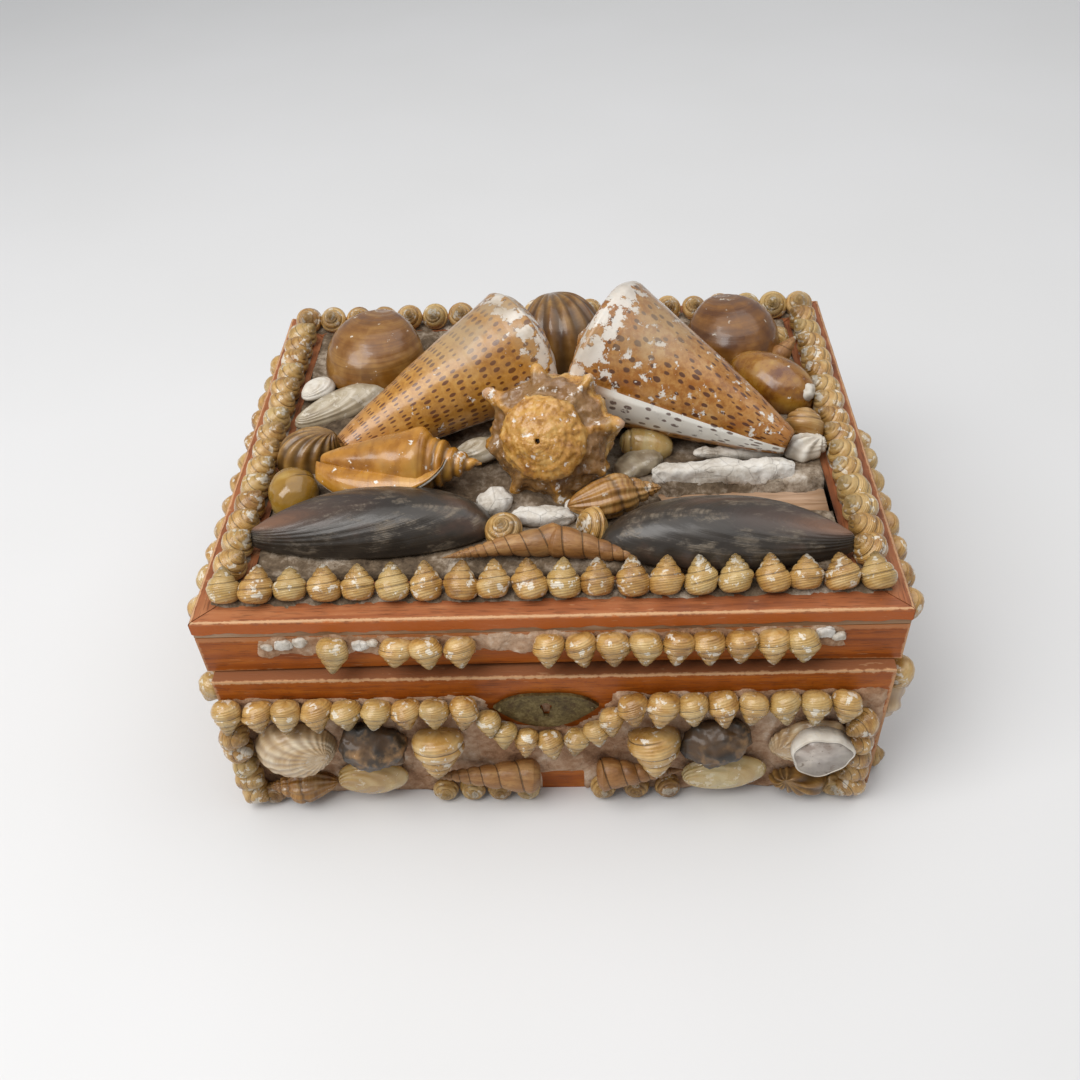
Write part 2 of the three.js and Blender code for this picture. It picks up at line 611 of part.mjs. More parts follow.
// The four border rows: top shells that stand in a strip of plaster on the frame and lean in towards the middle.
function lidBorders() {
  const x = lidWidth / 2 - borderInset;
  const front = lidFront + borderInset + 0.9;
  const back = lidBack - borderInset;
  const floor = lidTop + gap;
  const alongX = (y) => spread(-x, x, 20).map((at) => [at, y, lidTop + 3.9]);
  const alongY = (at) => spread(front + 10, back - 10, 15).map((y) => [at, y, lidTop + 3.9]);
  for (const [name, places, lean] of [
    ["lid_border_front", alongX(front), [0, 0.75]],
    ["lid_border_back", alongX(back), [0, -0.75]],
    ["lid_border_left", alongY(-x), [0.75, 0]],
    ["lid_border_right", alongY(x), [-0.75, 0]],
  ]) {
    const [first, last] = [places[0], places.at(-1)];
    const row = (growth) => [
      block(first[0] - 3, last[0] + 3, first[1] - 3, last[1] + 3, floor, floor + faceBed),
      ...places.map((at, i) => {
        const size = smallShell * (1 + 0.05 * Math.sin(5.1 * i)); // no two quite alike
        const axis = [lean[0] + 0.1 * Math.sin(7 * i), lean[1] + 0.1 * Math.cos(5 * i), 0.8];
        return seated(topShell(size, 1.15 * size), stand(at, axis), [[0, 0, 1], floor + seatDepth], growth);
      }),
    ];
    addPiece(lidGroup, name, clearOf(fuse(row(0))), creamShell);
    taken.push(fuse(row(clearance)));
  }
}

// A row of top shells on one of the lid's edges, apex down, fused with the strip of plaster that is left there.
function lidEdgeRow(name, halfSpan, outward, along, strip) {
  const face = halfSpan + gap + faceBed;
  const place = (run, out, z) => [outward[0] * out + outward[1] * run, outward[1] * out - outward[0] * run, z];
  const corners = [
    [strip[0], halfSpan + gap],
    [strip[1], face],
  ].map(([run, out]) => place(run, out, 0));
  const low = (axis) => Math.min(corners[0][axis], corners[1][axis]);
  const high = (axis) => Math.max(corners[0][axis], corners[1][axis]);
  const bed = block(low(0), high(0), low(1), high(1), lidTop - 14.5, lidTop - 6.3);
  const shells = along.map((run, i) => {
    const lean = place(0.16 * Math.sin(3 * i), 0.5, -0.86);
    return seated(
      topShell(9.2, 10.4),
      stand(place(run, face + 2.2, lidTop - 10.4), lean, 25 * i),
      [outward, face - seatDepth],
    );
  });
  addPiece(lidGroup, name, fuse([bed, ...shells]), creamShell);
}

function lidEdgeRows() {
  const left = [-60.5, -43, -34, -25];
  const right = [0, 9.3, 18.6, 27.7, 36.4, 45, 53.8, 62.6, 71];
  lidEdgeRow("lid_front_row", -lidFront, [0, -1, 0], [...left, ...right].map((x) => -x), [-84, 84]);
  lidEdgeRow("lid_left_row", lidWidth / 2, [-1, 0, 0], spread(-62, 62, 12), [-70, 70]);
  lidEdgeRow("lid_right_row", lidWidth / 2, [1, 0, 0], spread(-8, 66, 8), [-12, 70]);
}

caseBoards();
caseFrontField();
caseFrontShells();
taken.length = 0;
caseFacings();
lidBoards();
lidFacing();
lidBorders();
lidBed();
lidFieldShells();
lidEdgeRows();

export default box;
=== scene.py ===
# A seaside shell box: veneered wood, with sea shells bedded in plaster on its lid and round its sides.
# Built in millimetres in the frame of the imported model: X to the right, the lock faces -Y, Z up.
import math

import bpy
import numpy as np
from mathutils import Matrix, Vector, noise


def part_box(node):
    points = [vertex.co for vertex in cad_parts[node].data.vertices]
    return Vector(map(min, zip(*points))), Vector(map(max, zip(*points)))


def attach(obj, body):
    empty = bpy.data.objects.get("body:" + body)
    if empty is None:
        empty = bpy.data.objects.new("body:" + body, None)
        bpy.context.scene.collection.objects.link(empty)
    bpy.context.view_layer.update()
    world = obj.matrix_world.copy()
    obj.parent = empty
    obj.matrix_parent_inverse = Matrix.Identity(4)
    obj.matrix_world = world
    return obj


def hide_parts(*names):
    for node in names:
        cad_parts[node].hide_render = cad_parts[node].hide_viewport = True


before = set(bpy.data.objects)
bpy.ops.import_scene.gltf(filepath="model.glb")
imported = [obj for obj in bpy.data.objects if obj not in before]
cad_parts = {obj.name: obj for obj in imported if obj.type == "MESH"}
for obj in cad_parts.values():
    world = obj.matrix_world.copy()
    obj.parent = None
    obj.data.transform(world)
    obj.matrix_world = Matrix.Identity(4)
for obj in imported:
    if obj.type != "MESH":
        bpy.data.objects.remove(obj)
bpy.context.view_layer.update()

mm = 0.001
dice = np.random.default_rng(7)
fullTurn = 2 * math.pi


def boxOf(node):  # lowest and highest corner of a node, in millimetres
    low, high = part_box(node)
    return np.array(low) / mm, np.array(high) / mm


def smooth(x, low, high):
    t = np.clip((x - low) / (high - low), 0, 1)
    return t * t * (3 - 2 * t)


def unit(v):
    v = np.asarray(v, float)
    return v / np.linalg.norm(v)


def turned(axis, facing):  # columns: x as near to facing as it can be, y, and z along the axis
    z = unit(axis)
    x = np.asarray(facing, float) - np.dot(facing, z) * z
    x = unit(x if np.linalg.norm(x) > 1e-6 else np.cross(z, (0.3, 0.9, 0.1)))
    return np.column_stack([x, np.cross(z, x), z])


def anglesOf(columns):  # one angle for each column of a ring
    return np.arange(columns) / columns * fullTurn


def aroundOf(columns):  # the coordinate round a shell, from 0 to 1 with both ends of the seam
    return np.arange(columns + 1) / columns


def heading(degrees):  # a direction in a plane
    turn = math.radians(degrees)
    return math.cos(turn), math.sin(turn)


def fractal(points, grain, octaves=3, seed=0.0):  # smooth noise at every point, grain is its size in mm
    shift = Vector((seed * 17.3, seed * 5.1, -seed * 9.7))
    flat = points.reshape(-1, 3) / grain
    made = [noise.fractal(Vector(p) + shift, 1.0, 2.1, octaves) for p in flat.tolist()]
    return np.array(made).reshape(points.shape[:-1])


# a part is a dictionary of points, faces, their shell coordinates and a finish


def skin(rings, along, around, finish, groove=None, wear=None, shade=0.5):
    # a closed skin over rings of points; a fan closes each end
    rows, columns = rings.shape[:2]
    along = np.broadcast_to(np.asarray(along, float).reshape(rows, -1), (rows, columns + 1))
    around = np.broadcast_to(around, (rows, columns + 1))
    row = np.arange(rows - 1)[:, None]
    column = np.arange(columns)[None, :]
    after = (column + 1) % columns
    quads = np.stack([row * columns + column, row * columns + after,
                      (row + 1) * columns + after, (row + 1) * columns + column], -1).reshape(-1, 4)

    def corners(grid):
        return np.stack([grid[:-1, :-1], grid[:-1, 1:], grid[1:, 1:], grid[1:, :-1]], -1).reshape(-1, 4)
    quadUv = np.stack([corners(along), corners(around)], -1)
    last = (rows - 1) * columns
    first = rings[0].mean(0)
    end = rings[-1].mean(0)
    points = np.concatenate([rings.reshape(-1, 3), [first], [end]])
    total = rows * columns
    ring = np.arange(columns)
    triangles = np.concatenate([
        np.stack([np.full(columns, total), (ring + 1) % columns, ring], -1),
        np.stack([np.full(columns, total + 1), last + ring, last + (ring + 1) % columns], -1)])
    capUv = []
    for at, flip in ((0, True), (rows - 1, False)):
        a, b = around[at, :-1], around[at, 1:]
        u = along[at, :-1]
        pair = (b, a) if flip else (a, b)
        capUv.append(np.stack([np.stack([u, (a + b) / 2], -1), np.stack([u, pair[0]], -1),
                               np.stack([u, pair[1]], -1)], 1))

    def spread(values, default):
        values = np.broadcast_to(default if values is None else values, (rows, columns))
        return np.concatenate([values.reshape(-1), [values[0].mean()], [values[-1].mean()]])
    # the crease mask marks creases and hollows that the shell finishes paint darker as shade
    part = {"points": points, "quads": quads, "triangles": triangles, "quadUv": quadUv,
            "triUv": np.concatenate(capUv), "finish": finish,
            "groove": spread(groove, 0.0), "wear": spread(wear, 0.0), "shade": np.full(len(points), shade)}
    a, b, c, d = (points[quads[:, k]] for k in range(4))
    volume = (np.einsum("ij,ij->i", a, np.cross(b, c)) + np.einsum("ij,ij->i", a, np.cross(c, d))).sum()
    if volume < 0:
        part["quads"], part["quadUv"] = quads[:, ::-1], quadUv[:, ::-1]
        part["triangles"], part["triUv"] = triangles[:, ::-1], part["triUv"][:, ::-1]
    return part


def raised(rings, amount):  # moves a grid of rings out along its own normals
    down = np.gradient(rings, axis=0)
    across = (np.roll(rings, -1, 1) - np.roll(rings, 1, 1)) / 2
    normal = np.cross(across, down)
    normal /= np.linalg.norm(normal, axis=-1, keepdims=True) + 1e-9
    inside = rings.reshape(-1, 3).mean(0)
    sign = 1 if np.einsum("ijk,ijk->ij", normal, rings - inside).mean() > 0 else -1
    return rings + sign * normal * np.asarray(amount)[..., None]


def placed(part, at, axis=(0, 0, 1), facing=(1, 0, 0)):
    part["points"] = part["points"] @ turned(axis, facing).T + np.asarray(at, float)
    return part


def aimed(part, axis, facing):  # turned about its own middle
    return placed(part, (0, 0, 0), axis, facing)


def settled(part, node, outward=(0, 0, 1)):  # centres a turned part on its node, flush with its outer side
    low, high = boxOf(node)
    mine = part["points"].min(0), part["points"].max(0)
    shift = (low + high) / 2 - (mine[0] + mine[1]) / 2
    for axis, side in enumerate(outward):
        if side > 0:
            shift[axis] = high[axis] - mine[1][axis]
        if side < 0:
            shift[axis] = low[axis] - mine[0][axis]
    part["points"] = part["points"] + shift
    return part


def settledTogether(parts, node):  # settles the first part on its node and moves the others with it
    shift = settled({**parts[0]}, node)["points"][0] - parts[0]["points"][0]
    for part in parts:
        part["points"] = part["points"] + shift
    return parts


def heldIn(part, node, outward):  # moves a part back until it is no further out than its node
    low, high = boxOf(node)
    outward = np.array(outward, float)
    limit = max(low @ outward, high @ outward)
    over = max(0.0, (part["points"] @ outward).max() - limit)
    part["points"] = part["points"] - over * outward
    return part


def pressed(part, normal, offset):  # flattens what would sink in behind a face
    depth = offset - part["points"] @ np.asarray(normal, float)
    part["points"] = part["points"] + np.maximum(depth, 0)[:, None] * np.asarray(normal, float)
    return part


def makePiece(name, parts, replaced=()):
    parts = parts if isinstance(parts, list) else [parts]
    order = list(dict.fromkeys(part["finish"] for part in parts))
    points, faces, uv, finishIndex = [], [], [], []
    start = 0
    for part in parts:
        points.append(part["points"] * mm)
        for corners, spots in ((part["quads"], part["quadUv"]), (part["triangles"], part["triUv"])):
            faces += (corners + start).tolist()
            uv.append(spots.reshape(-1, 2))
        finishIndex += [order.index(part["finish"])] * (len(part["quads"]) + len(part["triangles"]))
        start += len(part["points"])
    mesh = bpy.data.meshes.new(name)
    mesh.from_pydata(np.concatenate(points).tolist(), [], faces)
    layer = mesh.uv_layers.new(name="shell")
    layer.data.foreach_set("uv", np.concatenate(uv).astype(np.float32).reshape(-1))
    for key in ("groove", "wear", "shade"):
        data = mesh.attributes.new(key, "FLOAT", "POINT").data
        data.foreach_set("value", np.concatenate([part[key] for part in parts]).astype(np.float32))
    mesh.polygons.foreach_set("material_index", finishIndex)
    mesh.shade_smooth()
    for finish in order:
        mesh.materials.append(finishOf(finish))
    piece = bpy.data.objects.new(name, mesh)
    bpy.context.scene.collection.objects.link(piece)
    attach(piece, "root")
    if replaced:
        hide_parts(*replaced)
    return piece


def flowing(profile, count):  # a smooth curve through the points of a profile
    profile = np.asarray(profile, float)
    padded = np.vstack([2 * profile[0] - profile[1], profile, 2 * profile[-1] - profile[-2]])
    spots = np.linspace(0, len(profile) - 1 - 1e-6, count)
    k = spots.astype(int)
    t = (spots - k)[:, None]
    a, b, c, d = padded[k], padded[k + 1], padded[k + 2], padded[k + 3]
    return 0.5 * (2 * b + (c - a) * t + (2 * a - 5 * b + 4 * c - d) * t ** 2
                  + (3 * b - a - 3 * c + d) * t ** 3)


def spun(profile, columns):  # rings of points from a profile of (radius, height)
    angle = anglesOf(columns)
    r, z = profile[:, :1], profile[:, 1:]
    return np.stack([r * np.cos(angle), r * np.sin(angle), np.broadcast_to(z, (len(r), columns))], -1)


plainSnail = {"rows": 30, "columns": 24, "sutureTo": 0.05, "swell": 0.045, "ribs": 0}


def snail(look, finish, wide, tall, shade=0.5, seed=0.0):
    # a closed snail seen from outside: a full outline, a spiral suture, and swelling whorls in between
    look = {**plainSnail, **look}
    rows, columns = look["rows"], look["columns"]
    profile = flowing([(r * wide / 2, z * tall) for r, z in look["outline"]], rows)
    profile[:, 0] = np.maximum(profile[:, 0], 0.01 * wide)
    rings = spun(profile, columns)
    angle = np.arange(columns) / columns
    depth = np.maximum(0.5 * tall - profile[:, 1:], 0.004 * tall) / tall
    whorls = np.log(depth) / math.log(look["widen"])
    phase = whorls + angle[None, :] + seed
    between = np.abs(np.mod(phase, 1) - 0.5) * 2
    above = smooth(-profile[:, 1:] / tall, look["sutureTo"] + 0.12, look["sutureTo"] - 0.05)
    swell = look["swell"] * wide * np.minimum(1, profile[:, :1] / (0.2 * wide))
    amount = swell * above * (0.35 - between ** 3)
    ribs = look["ribs"]
    if ribs:
        ripple = np.cos(fullTurn * ribs * angle)[None, :] * profile[:, :1] / wide
        amount = amount + look["ribDepth"] * ripple
    amount = amount + 0.02 * wide * fractal(rings, wide * 0.6, 2, seed + 3)
    body = smooth(-profile[:, 1:] / tall, 0.0, 0.25)
    rings = raised(rings, amount)
    rings[..., 0] += 0.07 * wide * body * np.cos(fullTurn * seed)
    rings[..., 1] += 0.07 * wide * body * np.sin(fullTurn * seed)
    # the suture crease, marked to be painted darker as shade
    groove = above * smooth(between, 0.72, 1.0)
    worn = smooth(profile[:, 1:] / tall, 0.1, 0.5) * np.ones((1, columns))
    return skin(rings, whorls + seed, aroundOf(columns), finish, groove, worn, shade)


def eggMargin(psi, look):
    x, y = np.cos(psi), np.sin(psi)
    y = y * (1 - look["beak"] * np.maximum(0, -x) * np.abs(y))
    return x * look["length"] / 2, y * look["width"] / 2


def dropMargin(psi, look):
    x, y = np.cos(psi), np.sin(psi)
    beak = np.maximum(0, -x)
    side = np.where(y > 0, 1.25 - 0.5 * beak ** 2, 0.75 - 0.1 * beak)
    y = y * side * (1 - 0.35 * beak ** 3) * look["width"] / 2 - 0.06 * look["width"] * beak ** 2
    return x * look["length"] / 2, y


plainValve = {"beak": 0.25, "rows": 34, "columns": 90, "beakAt": (-0.43, 0.0), "beakRise": 0.62,
              "bulge": 1.25, "ribs": 0, "terraces": 0, "ribDepth": 0, "terraceDepth": 0}


def valve(look, finish, margin=eggMargin, shade=0.5):
    # half a bivalve, open side down: growth runs from its beak at -X to its rim, ribs fan out from the beak
    look = {**plainValve, **look}
    rows, columns = look["rows"], look["columns"]
    psi = anglesOf(columns)
    mx, my = margin(psi, look)
    beakX, beakY = look["beakAt"]
    ux, uy = beakX * look["length"], beakY * look["width"]
    rayX, rayY = mx - ux, my - uy
    ray = np.hypot(rayX, rayY)
    share = ray / ray.max()
    fan = np.arctan2(rayY, rayX)
    g = np.sin(np.linspace(0.02, 1, rows) * math.pi / 2)[:, None]
    height = look["height"] * np.sqrt(1 - np.minimum(g, 0.9999) ** 1.15) * (
        look["beakRise"] + look["bulge"] * share * g)
    rings = np.stack([ux + g * rayX, uy + g * rayY, height], -1)
    ribs = look["ribs"]
    rib = np.cos(ribs * fan) * smooth(g, 0.08, 0.5) if ribs else 0 * g * share
    terraces = look["terraces"]
    step = np.cos(terraces * fullTurn * g ** 1.3) if terraces else 0 * g
    rings = raised(rings, look["ribDepth"] * rib + look["terraceDepth"] * step)
    rings[..., 2] = np.maximum(rings[..., 2], 0)
    foot = rings[-1:] * (0.97, 0.97, 0) + (0, 0, -0.6)
    # between the ribs and round the foot, marked to be painted darker as shade
    groove = np.concatenate([np.clip(0.5 - 0.5 * rib, 0, 1) if ribs else 0 * g * share,
                             np.ones((1, columns)) * 0.5])
    wear = np.broadcast_to(1 - smooth(g, 0.0, 0.45), (rows, columns))
    wear = np.concatenate([wear, wear[-1:]])
    along = np.concatenate([g[:, 0], [1.02]])
    around = aroundOf(columns)
    return skin(np.concatenate([rings, foot]), along, around, finish, groove, wear, shade)


plainLump = {"rows": 18, "columns": 26, "square": 1.0, "rough": 0.5, "grain": 3.0}


def lump(look, finish, shade=0.5, seed=0.0):  # a broken chip or worn pebble of a shell, rough all over
    look = {**plainLump, **look}
    rows, columns = look["rows"], look["columns"]
    tilt = np.linspace(0.06, 0.97, rows) * math.pi
    angle = anglesOf(columns)
    rings = np.stack([np.cos(tilt)[:, None] + 0 * angle, np.sin(tilt)[:, None] * np.cos(angle),
                      np.sin(tilt)[:, None] * np.sin(angle)], -1)
    square = look["square"]
    rings = np.sign(rings) * np.abs(rings) ** square
    rings = rings * np.array(look["size"]) / 2
    rough = look["rough"] * fractal(rings, look["grain"], 3, seed)
    # the hollows of the rough surface are marked to be painted darker as shade
    return skin(raised(rings, rough), np.linspace(0, 1, rows), aroundOf(columns), finish,
                np.clip(0.5 - rough, 0, 1), None, shade)


def add(tree, kind, inputs=None, **settings):
    made = tree.nodes.new("ShaderNode" + kind)
    for key, value in settings.items():
        setattr(made, key, value)
    for key, value in (inputs or {}).items():
        socket = made.inputs[key]
        if isinstance(value, bpy.types.NodeSocket):
            tree.links.new(value, socket)
        elif socket.type == "RGBA" and len(value) == 3:
            socket.default_value = (*value, 1)
        else:
            socket.default_value = value
    return made


def calc(tree, operation, a, b=0.5):
    return add(tree, "Math", {0: a, 1: b}, operation=operation).outputs[0]


def plus(tree, a, b):
    return calc(tree, "ADD", a, b)


def less(tree, a, b):
    return calc(tree, "SUBTRACT", a, b)


def times(tree, a, b):
    return calc(tree, "MULTIPLY", a, b)


def blended(tree, a, b, share):  # so much of the first value, the rest of the second
    return plus(tree, times(tree, a, share), times(tree, b, 1 - share))


def ease(tree, value, low, high, bottom=0.0, top=1.0):  # smooth step between two values
    made = add(tree, "MapRange", {"Value": value, "From Min": low, "From Max": high, "To Min": bottom,
                                  "To Max": top}, interpolation_type="SMOOTHSTEP")
    return made.outputs["Result"]


def mixed(tree, share, a, b):
    made = add(tree, "Mix", data_type="RGBA", clamp_factor=True)
    for socket, value in ((made.inputs[0], share), (made.inputs[6], a), (made.inputs[7], b)):
        if isinstance(value, bpy.types.NodeSocket):
            tree.links.new(value, socket)
        else:
            socket.default_value = (*value, 1) if isinstance(value, tuple) else value
    return made.outputs[2]


def grainOf(tree, place, size, detail=3.0, rough=0.55, stretch=(1, 1, 1), warp=0.0):
    # noise with features of a size in millimetres, stretched along an axis
    scaled = add(tree, "Mapping", {"Vector": place, "Scale": tuple(1 / (size * s) for s in stretch)})
    made = add(tree, "TexNoise", {"Vector": scaled.outputs[0], "Scale": 1.0, "Detail": detail,
                                  "Roughness": rough, "Distortion": warp})
    return made.outputs["Fac"]


def woven(tree, x, y, z=0.0, detail=2.0, rough=0.5):  # noise over coordinates made from a shell's own grid
    spot = add(tree, "CombineXYZ", {0: x, 1: y, 2: z}).outputs[0]
    return add(tree, "TexNoise", {"Vector": spot, "Scale": 1.0, "Detail": detail,
                                  "Roughness": rough}).outputs[0]


def ramp(tree, value, stops):
    made = add(tree, "ValToRGB", {"Fac": value})
    marks = made.color_ramp.elements
    while len(marks) < len(stops):
        marks.new(1.0)
    for mark, (at, colour) in zip(marks, stops):
        mark.position = at
        mark.color = (*colour, 1)
    return made.outputs["Color"]


def newFinish(name):  # a material with its tree, its surface shader, and object coordinates in millimetres
    material = bpy.data.materials.new(name)
    material.use_nodes = True
    tree = material.node_tree
    surface = tree.nodes["Principled BSDF"]
    spot = add(tree, "TexCoord").outputs["Object"]
    place = add(tree, "VectorMath", {0: spot, "Scale": 1 / mm}, operation="SCALE").outputs[0]
    return material, tree, surface, place


def setSurface(tree, surface, colour, roughness, height=None, depth=0.2, **fixed):
    tree.links.new(colour, surface.inputs["Base Color"])
    if isinstance(roughness, bpy.types.NodeSocket):
        tree.links.new(roughness, surface.inputs["Roughness"])
    else:
        surface.inputs["Roughness"].default_value = roughness
    if height is not None:
        bump = add(tree, "Bump", {"Height": height, "Strength": 0.9, "Distance": depth * mm})
        tree.links.new(bump.outputs[0], surface.inputs["Normal"])
    for key, value in fixed.items():
        surface.inputs[key.replace("_", " ")].default_value = value


def shellGrid(tree):  # growth and round-the-shell coordinates, and the values kept in the mesh
    uv = add(tree, "SeparateXYZ", {0: add(tree, "UVMap", uv_map="shell").outputs[0]})
    # the crease mask carries painted shade for creases and hollows
    names = ("groove", "wear", "shade")
    kept = [add(tree, "Attribute", attribute_name=key).outputs["Fac"] for key in names]
    return uv.outputs[0], uv.outputs[1], *kept


plainShell = {"flames": 9.0, "bands": 2.0, "cloud": 6.0, "vary": 0.3, "lines": 46.0, "streak": 0.35,
              "chip": 3.2, "wornBeak": 0.1, "chalkGlintFrom": 0.60, "chalk": 0.7,
              "chalkGlintTone": (0.72, 0.66, 0.55), "grime": 0.3, "sutureShade": 0.75, "deep": (0.09, 0.045, 0.016),
              "grimeTone": (0.13, 0.085, 0.04), "threads": 15.0, "threadDepth": 0.25, "streakDepth": 0.6,
              "gloss": 0.3, "depth": 0.12, "coat": 0.45, "spiral": False, "through": False}


def shellFinish(name, look):
    # varnished shell: three tones in flames along the growth, painted shade in the sutures and creases,
    # chalky worn patches that also stand in for painted glints
    look = {**plainShell, **look}
    material, tree, surface, place = newFinish(name)
    growth, around, groove, wear, shade = shellGrid(tree)
    across, along = (around, growth) if look["spiral"] else (growth, around)
    flames = woven(tree, times(tree, across, look["flames"]), times(tree, along, look["bands"]),
                   times(tree, shade, 40.0), 3.0, 0.6)
    cloud = grainOf(tree, place, look["cloud"], 3.0)
    tone = blended(tree, flames, cloud, 0.55)
    tone = plus(tree, tone, times(tree, less(tree, shade, 0.5), look["vary"]))
    dark, middle, light = look["tones"]
    colour = ramp(tree, tone, [(0.34, dark), (0.5, middle), (0.66, light)])
    if "tint" in look:
        colour = mixed(tree, ease(tree, shade, 0.62, 0.9, 0.0, 0.4), colour, look["tint"])
    streak = woven(tree, times(tree, across, look["lines"]), times(tree, along, 3.0), shade, 2.0, 0.6)
    colour = mixed(tree, ease(tree, streak, 0.5, 0.75, 0.0, look["streak"]), colour, dark)
    # pale chalky patches: partly worn shell, partly painted glints
    chalk = plus(tree, grainOf(tree, place, look["chip"], 5.0, 0.62), times(tree, wear, look["wornBeak"]))
    bare = ease(tree, chalk, look["chalkGlintFrom"], look["chalkGlintFrom"] + 0.05)
    colour = mixed(tree, times(tree, bare, look["chalk"]), colour, look["chalkGlintTone"])
    grime = ease(tree, grainOf(tree, place, 9.0, 4.0), 0.5, 0.72, 0.0, look["grime"])
    # painted shade: spiral shells darken along the suture line, the others along their marked creases
    turn = calc(tree, "FRACT", plus(tree, plus(tree, growth, around), 20.0))
    seam = times(tree, calc(tree, "ABSOLUTE", less(tree, turn, 0.5)), 2.0)
    fold = ease(tree, groove, 0.12, 0.5)
    seam = times(tree, ease(tree, seam, 0.9, 0.98), fold) if look["spiral"] else groove
    colour = mixed(tree, times(tree, seam, look["sutureShade"]), colour, look["deep"])
    colour = mixed(tree, grime, colour, look["grimeTone"])
    thread = plus(tree, growth, around) if look["spiral"] else around
    threads = calc(tree, "SINE", times(tree, thread, fullTurn * look["threads"]))
    height = plus(tree, times(tree, threads, look["threadDepth"]), times(tree, streak, look["streakDepth"]))
    height = less(tree, height, times(tree, bare, 0.5))
    height = less(tree, height, times(tree, seam, 1.5)) if look["spiral"] else height
    rough = plus(tree, ease(tree, cloud, 0.35, 0.65, look["gloss"], look["gloss"] + 0.2),
                 times(tree, bare, 0.12))
    setSurface(tree, surface, colour, rough, height, look["depth"], Coat_Weight=look["coat"],
               Coat_Roughness=0.12, Specular_IOR_Level=0.5)
    if look["through"]:
        surface.inputs["Subsurface Weight"].default_value = look["through"]
        surface.inputs["Subsurface Radius"].default_value = (1.2, 0.9, 0.5)
        surface.inputs["Subsurface Scale"].default_value = 0.0015
    return material


